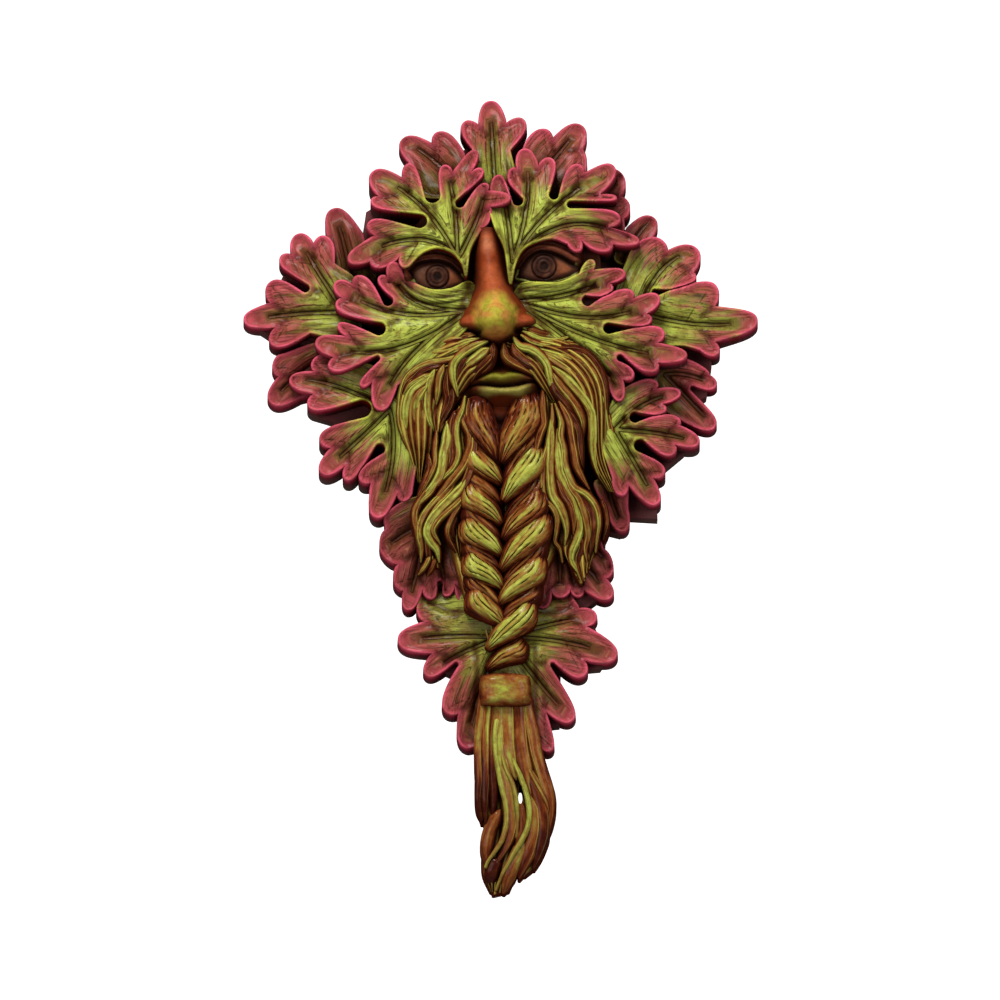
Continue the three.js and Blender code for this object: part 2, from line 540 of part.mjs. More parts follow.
// The face between the leaves, and its features
const features = [
  { left: [[-30, 112], [-40, 96], [-40, 80], [-34, 60], [-24, 32]],
    right: [[24, 112], [37, 98], [38, 82], [34, 60], [24, 32]],
    rises: [[faceRise - 8, faceRise - 1], [faceRise - 6, faceRise], [faceRise - 4, faceRise + 4],
      [faceRise - 6, faceRise + 2]],
    rows: 6 },
  // The nose
  { left: [[-10, 101], [-8.5, 90], [-9.5, 82], [-12, 74], [-12, 66], [-6, 60]],
    right: [[-1, 103], [1, 92], [4, 82], [7, 74], [7.5, 66], [2, 60]],
    rises: [[faceRise, noseBridgeRise], [faceRise, noseBridgeRise + 2], [faceRise + 2, noseBridgeRise + 6],
      [faceRise + 4, noseTipRise - 3], [faceRise + 4, noseTipRise - 10]],
    strands: 3, valley: 0, rows: 7 },
  // The lips and the chin
  { left: [[-10, 43], [-4, 46.5], [2, 45], [8, 47], [14, 43]],
    right: [[-10, 42.5], [-4, 42.5], [2, 42], [8, 42.5], [14, 42.5]],
    rises: [[lipRise - 5, lipRise - 3], [lipRise - 3, lipRise], [lipRise - 5, lipRise - 3]], rows: 6 },
  { left: [[-9, 43], [2, 42.8], [13, 43]],
    right: [[-8, 40.5], [-4, 37.5], [2, 37], [8, 37.5], [12, 40.5]],
    rises: [[lipRise - 5, lipRise - 3], [lipRise - 3, lipRise], [lipRise - 5, lipRise - 3]], rows: 6 },
  { left: [[-12, 37], [2, 38], [15, 37]], right: [[-10, 30], [2, 28], [13, 30]],
    rises: [[faceRise, faceRise + 5], [faceRise, faceRise + 7], [faceRise, faceRise + 5]], rows: 5 },
  // The folds over the eyes
  { left: [[-37, 91], [-31, 96], [-23, 97], [-14, 90]],
    right: [[-36, 89], [-31, 91.5], [-22, 91.5], [-13, 85]],
    rises: [[eyeRise - 4, eyeRise], [eyeRise - 2, eyeRise + 3], [eyeRise - 3, eyeRise + 1]], rows: 5 },
  { left: [[7, 92], [12, 98], [22, 99.5], [34, 93]],
    right: [[7, 88.5], [12, 93.5], [21, 95], [32, 91]],
    rises: [[eyeRise - 3, eyeRise + 1], [eyeRise - 2, eyeRise + 3], [eyeRise - 4, eyeRise]], rows: 5 },
];
const mounds = [
  // The eyes
  { centre: [-25, 86], reach: [11, 6], rises: [eyeRise - 4, eyeRise] },
  { centre: [19, 90], reach: [12, 6], rises: [eyeRise - 4, eyeRise] },
  // The tip and the wings of the nose
  { centre: [-2, 66.5], reach: [7.5, 7], rises: [faceRise + 10, noseTipRise] },
  { centre: [-12.5, 65], reach: [5, 5], rises: [faceRise + 5, noseBridgeRise + 5] },
  { centre: [9, 65.5], reach: [5, 5], rises: [faceRise + 5, noseBridgeRise + 5] },
  // The knot over the tie
  { centre: [2.3, -66.2], reach: [9, 6], rises: [plaitFootRise - 6, plaitFootRise] },
];
const tie = {
  left: [[-8, -70.5], [2, -69.5], [12.5, -71]], right: [[-8.5, -82], [2, -83], [13, -82]],
  rises: [[tieRise - 8, tieRise - 3], [tieRise - 4, tieRise], [tieRise - 8, tieRise - 3]], rows: 4, square: 3,
};

// A lobe of the plait: a leaf-shaped band that bows outwards on its way down
function plaitLobe([top, foot]) {
  const run = minus(foot, top);
  const sideways = unit(leftOf(run));
  const outward = top[0] < 0 ? -1 : 1;
  const middleAt = (share, width) => {
    const bow = Math.sin(Math.PI * share) * lobeBow * outward;
    return plus(plus(plus(top, times(run, share)), [bow, 0]), times(sideways, width / 2));
  };
  const widths = lobeShares.map((k) => k * lobeWidth);
  const fall = Math.min(Math.max((plaitTop - top[1]) / plaitLength, 0), 1);
  const crest = blend(plaitRise, plaitFootRise, fall);
  const side = crest - lobeHeight;
  return band({
    left: lobePlaces.map((share, k) => middleAt(share, widths[k])),
    right: lobePlaces.map((share, k) => middleAt(share, -widths[k])),
    strands: 2, rises: [[side, crest - 4], [side + 3, crest], [side, crest - 5]], rows: 4,
  });
}

// A flat plate through the given points, from the wall to the given rise
function plate(points, rise) {
  const shape = new THREE.Shape();
  shape.moveTo(points[0][0] * across, points[0][1] * up);
  const round = [...points.slice(1), points[0]];
  shape.splineThru(round.map(([column, row]) => new THREE.Vector2(column * across, row * up)));
  const geometry = new THREE.ExtrudeGeometry(shape, { depth: rise, bevelEnabled: false, curveSegments: 1 });
  geometry.rotateX(Math.PI / 2);
  return solid(geometry);
}

function block(width, depth, height, x, y, z) {
  return solid(new THREE.BoxGeometry(width, depth, height).translate(x, y, z));
}

const backing = plate([[0, 145], [22, 137], [40, 108], [68, 76], [58, 36], [38, -6], [24, -38],
  [12, -80], [-8, -80], [-22, -42], [-38, -6], [-58, 40], [-66, 76], [-44, 112], [-26, 134]], backingRise);
const roomForward = new THREE.BoxGeometry(2 * maskWidth, 4 * noseTipRise, 2 * maskHeight);
const slit = plate([[0, slitHeight / 2], [slitWidth / 2, 0], [0, -slitHeight / 2], [-slitWidth / 2, 0]]
  .map((corner) => plus(slitPlace, corner)), 2 * tasselRise);
const bodies = [
  backing,
  ...leaves.map(leaf),
  ...locks.map((lock) => band({ valley: strandDepth, ...lock })),
  ...plaitLobes.map(plaitLobe),
  ...tassel.map((strand) => band({ valley: strandDepth, ...strand })),
  ...features.map(band),
  ...mounds.map(mound),
  band(tie),
];
const mask = wasm.Manifold.union(bodies)
  .intersect(solid(roomForward.translate(0, -2 * noseTipRise, 0)))
  .subtract(block(recessWidth, 2 * recessDepth, recessHeight, 0, 0, recessTop - recessHeight / 2))
  .subtract(slit);

const mesh = mask.getMesh();
const geometry = new THREE.BufferGeometry();
geometry.setAttribute('position', new THREE.BufferAttribute(new Float32Array(mesh.vertProperties), 3));
geometry.setIndex([...mesh.triVerts]);
geometry.computeVertexNormals();

const part = new THREE.Group();
const body = new THREE.Mesh(geometry, new THREE.MeshStandardMaterial({ color: 0x8a4a3a, roughness: 0.5 }));
body.name = 'mask';
part.add(body);

export default part;
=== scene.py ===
import math

import bpy
import numpy as np
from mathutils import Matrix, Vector, noise
from mathutils.geometry import delaunay_2d_cdt


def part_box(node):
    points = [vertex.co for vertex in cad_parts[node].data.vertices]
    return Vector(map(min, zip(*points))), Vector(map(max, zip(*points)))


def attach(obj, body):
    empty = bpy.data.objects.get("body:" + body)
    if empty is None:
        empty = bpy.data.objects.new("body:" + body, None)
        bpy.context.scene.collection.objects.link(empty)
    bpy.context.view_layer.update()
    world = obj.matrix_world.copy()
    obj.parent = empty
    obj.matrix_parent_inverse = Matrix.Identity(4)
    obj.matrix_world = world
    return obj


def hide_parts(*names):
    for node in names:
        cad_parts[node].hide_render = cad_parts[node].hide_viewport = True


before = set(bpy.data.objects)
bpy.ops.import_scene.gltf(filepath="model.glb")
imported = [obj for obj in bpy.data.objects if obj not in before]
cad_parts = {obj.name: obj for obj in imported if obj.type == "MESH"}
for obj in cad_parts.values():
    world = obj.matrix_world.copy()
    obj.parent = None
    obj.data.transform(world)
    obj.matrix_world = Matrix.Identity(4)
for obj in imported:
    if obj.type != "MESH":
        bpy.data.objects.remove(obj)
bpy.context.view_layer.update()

# The leaves
# Oak-like leaves cast with the rest of the mask in filled polyester resin, twenty of them, one
# over another. Each has a raised rim, a hollow down each main vein, and steep sides that lean
# out a little towards the flat back, so that the casting leaves its mould.
low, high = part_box("mask")

# The carving is drawn on a sheet of small squares of about a millimetre, in columns and rows
# counted from the origin, with the rise counted out from the wall. Points on it are complex
# numbers: the column is the real part and the row the imaginary part.
sheet_columns = 206.38
sheet_rows = 316.94
sheet_rise = 58.0
across = (high.x - low.x) / sheet_columns
up = (high.z - low.z) / sheet_rows
out = (high.y - low.y) / sheet_rise

# How far each layer stands out from the wall, at a leaf's heart and at its tips
OUTER = (24, 15)
MIDDLE = (30.5, 21)
FRONT = (43, 30)
CHEEK = (42, 30)
LOWER = (24, 15)
BEHIND = (18, 13)

# The corners' spacing along a rim and over a blade, and the least gap between two fingers
rim_step = 0.85
blade_step = 1.15
least_gap = 0.9

# A finger's tip, as a share of the finger's width and of its length, and its limits
tip_share = 0.66
tip_slimness = 0.33
least_tip = 1.6
most_tip = 4.5
notch_swell = 1.9

# Where the main veins, their branches and the creases end, as shares of the way to the tip or
# to the vein, and how a branch bows, as shares of its finger's distance from the vein
vein_end = 0.93
branch_start = 0.05
branch_end = 0.88
branch_knee = 0.7
branch_lead = 0.4
crease_start = 0.3
crease_end = 0.6

# Extra rows of corners inside a rim and beside the veins and the folds, and how far the blade's
# own corners keep from a rim and a vein
rim_rows = (0.45, 1.05)
vein_rows = (0, -0.7, 0.7, -1.3, 1.3)
fold_rows = (-1.1, -0.5, 0, 0.5, 1.1)
clear_of_rim = 1.6
clear_of_vein = 1.5

# The blade's relief: depths, heights and widths in squares
vein_depth = 1.7
bead_height = 0.9
bead_width = 0.8
channel_depth = 0.5
channel_place = 2.0
channel_width = 0.9
puff_height = 1.6
scored_depth = 0.6
scored_width = 0.3
branch_depth = 0.5
branch_width = 0.45
crease_depth = 0.7
crease_width = 1.3
fold_depth = 0.9
fold_width = 0.5

# The walls lean out most below the tips; the shoulder's two steps go out and down from a rim
wall_lean = 0.3
shoulder = [(0.25, 0.2), (0.4, 0.8)]
smooth_below = math.radians(58)


def unit(d):
    """The direction, one square long."""
    return d / (abs(d) or 1.0)


def along(a, b):
    """How far the first runs in the direction of the second, times its length."""
    return (a * np.conj(b)).real


def bezier(a, b, c, d, t):
    """Points at t, from 0 to 1, on a curve from a to d that b and c pull."""
    s = 1 - t
    return s**3 * a + 3 * s * s * t * b + 3 * s * t * t * c + t**3 * d


def bow(start, pull, end, t):
    """A curve from start to end, pulled towards a third point."""
    return (1 - t) ** 2 * start + 2 * t * (1 - t) * pull + t * t * end


def hump(value, width):
    """1 at nought, fading to nothing a few widths away."""
    return np.exp(-((value / width) ** 2))


def smooth_line(points, step):
    """A curve through the points, with samples about a step apart."""
    knots = np.array([complex(*p[:2]) for p in points])
    before = np.concatenate(([2 * knots[0] - knots[1]], knots[:-2]))
    after = np.concatenate((knots[2:], [2 * knots[-1] - knots[-2]]))
    pieces = []
    for p0, p1, p2, p3 in zip(before, knots[:-1], knots[1:], after):
        count = max(1, round(abs(p2 - p1) / step))
        t = np.arange(count) / count
        pieces.append(bezier(p1, p1 + (p2 - p0) / 6, p2 - (p3 - p1) / 6, p2, t))
    return np.concatenate(pieces + [knots[-1:]])


def flank(notch, tip, axis, side):
    """One side of a finger, from its notch to its rounded tip; side is 1 for its left."""
    reach = tip - notch
    rise = max(along(reach, axis), 0.3 * abs(reach))
    blunt = max(tip_share * abs(along(reach, 1j * axis)), least_tip)
    blunt = min(blunt, tip_slimness * abs(reach), most_tip)
    lean = min(1.0, 8 / abs(reach))
    start = unit(axis * lean + unit(reach) * (1 - lean))
    t = np.linspace(0, 1, max(3, round(abs(reach) / rim_step)) + 1)
    return bezier(notch, notch + start * 0.55 * rise, tip + 1j * axis * side * blunt, tip, t)


def outline(edge, root):
    """The points round a leaf, clockwise, how near a tip each is, and each finger's axis.

    The edge gives tips and notches in turn, and a third value on a notch rounds it.
    """
    marks = [complex(*mark[:2]) for mark in edge]
    base = smooth_line(root, 2 * rim_step)
    points, near, axes = [], [], {}
    for i in range(0, len(edge), 2):
        tip = marks[i]
        before = marks[i - 1] if i else base[-1]
        after = marks[i + 1] if i + 1 < len(edge) else base[0]
        axis = unit(-(unit(before - tip) + unit(after - tip)))
        axes[i] = axis
        ends = []
        for k, notch, side in ((i - 1, before, 1), (i + 1, after, -1)):
            rounded = 0 < k < len(edge) and len(edge[k]) > 2
            if rounded:
                mouth = unit((tip + marks[k - side]) / 2 - notch)
                notch = notch - 1j * mouth * side * edge[k][2] * notch_swell
            ends.append(notch)
        rising = flank(ends[0], tip, axis, 1)
        falling = flank(ends[1], tip, axis, -1)[::-1]
        points += [rising[:-1], falling[:-1]]
        near += [np.linspace(0, 1, len(rising))[:-1], np.linspace(1, 0, len(falling))[:-1]]
        if i + 1 == len(edge):
            points.append(base[:-1])
            near.append(np.zeros(len(base) - 1))
        elif len(edge[i + 1]) > 2:
            radius = edge[i + 1][2] * notch_swell
            mouth = unit((tip + marks[i + 2]) / 2 - after)
            count = max(3, round(math.pi * radius / rim_step))
            turn = np.pi * np.arange(count) / count
            points.append(after + radius * mouth * (1j * np.cos(turn) - np.sin(turn)))
            near.append(np.zeros(count))
    points, near = np.concatenate(points), np.concatenate(near)
    kept = ~knotted(points)
    points, near = parted(points[kept]), near[kept]
    kept = ~knotted(points)
    return points[kept], near[kept], axes


# The longest loop to look for, counted in points
longest_loop = 16


def knotted(ring):
    """The points in the small loops that a rounded notch makes where it meets its fingers."""
    loose = np.zeros(len(ring), dtype=bool)
    for gap in range(2, longest_loop):
        a, b = ring, np.roll(ring, -1)
        c, d = np.roll(ring, -gap), np.roll(ring, -gap - 1)
        over = (np.conj(b - a) * (c - a)).imag * (np.conj(b - a) * (d - a)).imag < 0
        over &= (np.conj(d - c) * (a - c)).imag * (np.conj(d - c) * (b - c)).imag < 0
        for i in np.flatnonzero(over):
            loose[np.arange(i + 1, i + gap + 1) % len(ring)] = True
    return loose


# How often and how far close fingers are moved apart, and how many points along the ring are
# too near to count as another finger
parting_rounds = 10
parting_push = 0.15
close_neighbours = 4


def parted(ring):
    """The ring with a narrow gap kept wherever two fingers nearly touch."""
    order = np.arange(len(ring))
    steps = abs(order[:, None] - order)
    steps = np.minimum(steps, len(ring) - steps)
    for _ in range(parting_rounds):
        inward = -1j * (np.roll(ring, -1) - np.roll(ring, 1))
        inward /= abs(inward)
        facing = along(inward[:, None], inward) < 0
        tight = (abs(ring[:, None] - ring) < least_gap) & (steps > close_neighbours) & facing
        ring = ring + parting_push * inward * tight.any(axis=1)
    return ring


def batches(points):
    """The points in parts small enough to compare with a whole line at once."""
    return np.array_split(points, max(1, len(points) // 1500))


def nearest(points, line):
    """Each point's distance to a line of points, and where along it that is, from 0 to 1."""
    start, run = line[:-1], np.diff(line)
    length = np.concatenate(([0], np.cumsum(abs(run))))
    far, place = [], []
    for part in batches(points):
        t = along(part[:, None] - start, run) / np.maximum(abs(run) ** 2, 1e-9)
        t = np.clip(t, 0, 1)
        gap = abs(part[:, None] - start - t * run)
        best = gap.argmin(axis=1)
        rows = np.arange(len(part))
        far.append(gap[rows, best])
        place.append((length[best] + t[rows, best] * abs(run)[best]) / length[-1])
    return np.concatenate(far), np.concatenate(place)


def inside(points, ring):
    """Which points lie inside a closed ring."""
    a, b = ring, np.roll(ring, -1)
    found = []
    for part in batches(points):
        y = part.imag[:, None]
        straddles = (a.imag > y) != (b.imag > y)
        slope = (b.real - a.real) / np.where(b.imag == a.imag, 1e-9, b.imag - a.imag)
        crossing = a.real + (y - a.imag) * slope
        found.append((straddles & (part.real[:, None] < crossing)).sum(axis=1) % 2 == 1)
    return np.concatenate(found)


def sheet_of_points(ring, step):
    """Points in rows a step apart, inside a ring."""
    columns = np.arange(ring.real.min(), ring.real.max(), step)
    rows = np.arange(ring.imag.min(), ring.imag.max(), step * 0.866)
    grid = columns[None, :] + 1j * rows[:, None]
    grid[1::2] += step / 2
    grid = grid.ravel()
    return grid[inside(grid, ring)]


def triangles_within(ring, points):
    """Triangles that fill a ring and use the points: the corners and the faces."""
    flat = [Vector((p.real, p.imag)) for p in np.concatenate((ring, points))]
    count = len(ring)
    borders = [(k, (k + 1) % count) for k in range(count)]
    corners, _, faces, _, _, _ = delaunay_2d_cdt(flat, borders, [], 0, 1e-6, True)
    corners = np.array([complex(*c) for c in corners])
    faces = np.array([face for face in faces if len(face) == 3])
    faces = faces[inside(corners[faces].mean(axis=1), ring)]
    first, second, third = corners[faces].T
    clockwise = (np.conj(second - first) * (third - first)).imag < 0
    faces[clockwise] = faces[clockwise][:, ::-1]
    return corners, faces


def rim_edges(faces):
    """The edges that only one face uses, as it goes round them."""
    edges = faces[:, [0, 1, 1, 2, 2, 0]].reshape(-1, 2)
    used = {tuple(edge) for edge in edges}
    return np.array([edge for edge in edges if (edge[1], edge[0]) not in used])


def body(name, corners, faces, back, rise, paint, lean=0.0, foot=0.0):
    """A closed body from a carved front, with a rounded shoulder and walls down to its foot.

    Each corner's paint is a set of pairs, kept as UV maps; the map "wall" gets the depth
    below the rim. The back uses the rim's corners alone.
    """
    edges = rim_edges(faces)
    rim = np.unique(edges)
    place = np.zeros(len(corners), dtype=int)
    place[rim] = np.arange(len(rim))
    ahead, behind = dict(edges), {b: a for a, b in edges}
    sideways = np.array([unit(-1j * (corners[ahead[c]] - corners[behind[c]])) for c in rim])
    lean = np.broadcast_to(lean, len(corners))[rim]
    count, rim_count = len(corners), len(rim)
    rings = [corners[rim] + sideways * width for width, _ in shoulder]
    rings.append(rings[-1] + sideways * lean)
    plan = np.concatenate([corners] + rings)
    drops = [depth for _, depth in shoulder]
    height = np.concatenate([rise] + [rise[rim] - drop for drop in drops] + [np.full(rim_count, foot)])
    solid = [faces, place[back][:, ::-1] + count + len(shoulder) * rim_count]
    above, below = edges, place[edges] + count
    for _ in rings:
        first, second = above.T
        third, fourth = below.T
        solid += [np.stack((first, third, second), 1), np.stack((second, third, fourth), 1)]
        above, below = below, below + rim_count
    solid = np.concatenate(solid)
    mesh = bpy.data.meshes.new(name)
    spots = np.stack((plan.real * across, -height * out, plan.imag * up), 1)
    mesh.from_pydata(spots, [], solid.tolist())
    source = np.concatenate([np.arange(count)] + [rim] * len(rings))
    sunk = [np.zeros(count)] + [np.full(rim_count, drop) for drop in drops] + [rise[rim] - foot]
    sunk = np.concatenate(sunk)
    corner = np.zeros(len(mesh.loops), dtype=np.int32)
    mesh.loops.foreach_get("vertex_index", corner)
    for key, (first, second) in paint.items():
        first = np.broadcast_to(first, count)[source]
        second = sunk if key == "wall" else np.broadcast_to(second, count)[source]
        layer = mesh.uv_layers.new(name=key)
        layer.data.foreach_set("uv", np.stack((first[corner], second[corner]), 1).ravel())
    made = bpy.data.objects.new(name, mesh)
    bpy.context.scene.collection.objects.link(made)
    return made


def joined(name, bodies, cuts=()):
    """One closed mesh from overlapping bodies, less the cuts."""
    first = bodies[0]
    groups = ((bodies[1:], "UNION"), (list(cuts), "DIFFERENCE"))
    for others, operation in groups:
        if not others:
            continue
        group = bpy.data.collections.new(name)
        bpy.context.scene.collection.children.link(group)
        for other in others:
            group.objects.link(other)
        join = first.modifiers.new(operation.lower(), "BOOLEAN")
        join.operation = operation
        join.operand_type = "COLLECTION"
        join.collection = group
        join.solver = "MANIFOLD"
    graph = bpy.context.evaluated_depsgraph_get()
    mesh = bpy.data.meshes.new_from_object(first.evaluated_get(graph))
    mesh.name = name
    for spent in [*bodies, *cuts]:
        bpy.data.objects.remove(spent)
    for group in [c for c in bpy.data.collections if c.name.startswith(name)]:
        bpy.data.collections.remove(group)
    piece = bpy.data.objects.new(name, mesh)
    bpy.context.scene.collection.objects.link(piece)
    return piece


def finished(piece, material):
    """Give a piece its paint and a smooth skin, and put it in the place of the solid mask."""
    piece.data.materials.clear()
    piece.data.materials.append(material)
    piece.data.shade_smooth()
    piece.data.set_sharp_from_angle(angle=smooth_below)
    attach(piece, "root")
    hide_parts("mask")


def rough_hand(points, size, seed):
    """Slow hand-carved unevenness, from about -1 to 1, over bumps of the given size."""
    return np.array([noise.noise(Vector((p.real / size, p.imag / size, seed))) for p in points])


def rows_beside(course, offsets):
    """A row of points beside a line for each offset."""
    side = 1j * np.gradient(course)
    side /= np.maximum(abs(side), 1e-9)
    return [course + side * offset for offset in offsets]


def leaf_lines(middle, veins, edge, tips, axes):
    """The main veins, the branches to the other tips, and the creases from the notches."""
    main, branches, creases = [], [], []
    for number, bend in veins.items():
        tip = tips[2 * number]
        pull = 2 * complex(*bend) - (middle + tip) / 2
        main.append(bow(middle, pull, tip, np.linspace(0, vein_end, 60)))
    for i, tip in tips.items():
        if i // 2 in veins:
            continue
        trunk = min(main, key=lambda line: abs(line - tip).min())
        reach = abs(trunk - tip).min()
        knee = tip - axes[i] * branch_knee * reach
        start = trunk[abs(trunk - (knee - axes[i] * branch_lead * reach)).argmin()]
        branches.append(bow(start, knee, tip, np.linspace(branch_start, branch_end, 24)))
    for mark in edge[1:-1:2]:
        notch = complex(*mark[:2])
        trunk = min(main, key=lambda line: abs(line - notch).min())
        reach = trunk[max(abs(trunk - notch).argmin() - 12, 0)] - notch
        start = crease_start if len(mark) > 2 else 0.0
        creases.append(notch + reach * np.linspace(start, crease_end, 12))
    return main, branches, creases


def blade_points(ring, main, folds):
    """Corners over a blade, with closer rows inside its rim and along its veins and folds."""
    closed = np.append(ring, ring[0])
    blade = sheet_of_points(ring, blade_step)
    blade = blade[nearest(blade, closed)[0] > clear_of_rim]
    away = np.min([nearest(blade, line)[0] for line in main], axis=0)
    rows = [blade[away > clear_of_vein]]
    aside = np.roll(ring, -1) - np.roll(ring, 1)
    inward = -1j * aside / np.maximum(abs(aside), 1e-9)
    for inset in rim_rows:
        row = ring + inward * inset
        row = row[inside(row, ring)]
        rows.append(row[nearest(row, closed)[0] > 0.85 * inset])
    for line in main:
        course = smooth_line([(p.real, p.imag) for p in line[::12]], 1.0)
        for row in rows_beside(course, vein_rows):
            row = row[inside(row, ring)]
            rows.append(row[nearest(row, closed)[0] > 1.2])
    for line in folds:
        rows += [row[2:-2] for row in rows_beside(smooth_line(line, 0.8), fold_rows)]
    points = np.concatenate(rows)
    return points[np.unique(np.round(points, 1), return_index=True)[1]]


def leaf(name, layer, heart, veins, edge, root, dull, folds=(), shaded=(), green_tips=(), lifts=()):
    """One leaf. The veins run from the heart to the tips they name, past a bend.

    The shaded lines are soft creases, darkened with painted shade. A lift raises the blade
    about a place, over a spread, to bring it over its neighbour.
    """
    heart_rise, tip_rise = layer
    middle = complex(*heart)
    ring, near, axes = outline(edge, root)
    tips = {i: complex(*edge[i][:2]) for i in range(0, len(edge), 2)}
    main, branches, creases = leaf_lines(middle, veins, edge, tips, axes)
    creases = [smooth_line(line, 1) for line in shaded] + creases
    corners, faces = triangles_within(ring, blade_points(ring, main, folds))

    rim = nearest(corners, np.append(ring, ring[0]))[0]
    found = [nearest(corners, line) for line in main]
    vein = np.min([gap for gap, _ in found], axis=0)
    spans = [abs(np.diff(line)).sum() for line in main]
    pull = np.array([1 / (gap + 0.6) ** 4 for gap, _ in found])
    share = np.array([np.clip(t - 0.35 * gap / span, 0, 1) for (gap, t), span in zip(found, spans)])
    reach = (pull * share).sum(axis=0) / pull.sum(axis=0)
    folds = [smooth_line(line, 1) for line in folds]
    branch, crease, fold = (
        np.min([nearest(corners, line)[0] for line in lines] or [rim + 9], axis=0)
        for lines in (branches, creases, folds))
    tip = np.min([abs(corners - t) for i, t in tips.items() if i // 2 not in green_tips], axis=0)

    split = vein / (vein + rim + 1e-6)
    width = np.minimum((vein + rim) / 7, 1)
    inner = np.clip(rim / 2, 0, 1)
    fade = np.clip((1 - reach) * 4, 0, 1)
    rise = heart_rise + (tip_rise - heart_rise) * reach + 0.5 * vein_depth * reach
    rise -= vein_depth * (1 - 0.5 * reach) * (1 - split) ** 1.3
    rise += puff_height * width * np.sin(np.pi * split)
    rise += bead_height * hump(rim, bead_width)
    rise -= channel_depth * hump(rim - channel_place, channel_width)
    twin = 0.3 + 0.4 * fade
    rise -= fade * scored_depth * hump(vein - twin, scored_width)
    rise -= branch_depth * hump(branch, branch_width) * inner
    rise -= crease_depth * hump(crease, crease_width) * inner
    rise -= fold_depth * hump(fold, fold_width) * inner
    rise -= 0.5 * hump(fold - 0.9, 0.4) * inner
    for place, spread, amount in lifts:
        rise += amount * hump(abs(corners - complex(*place)), spread)
    seed = abs(middle)
    rise += inner * (0.4 * rough_hand(corners, 6, seed) + 0.15 * rough_hand(corners, 1.8, seed))

    lean = wall_lean * near[abs(corners[:, None] - ring).argmin(axis=1)]
    line = np.minimum(branch, 0.6 * fold)
    paint = {"edge": (rim, tip), "vein": (vein, line), "place": (reach, dull), "wall": (crease, 0)}
    back = triangles_within(ring, np.zeros(0))[1]
    return body(name, corners, faces, back, rise, paint, lean)


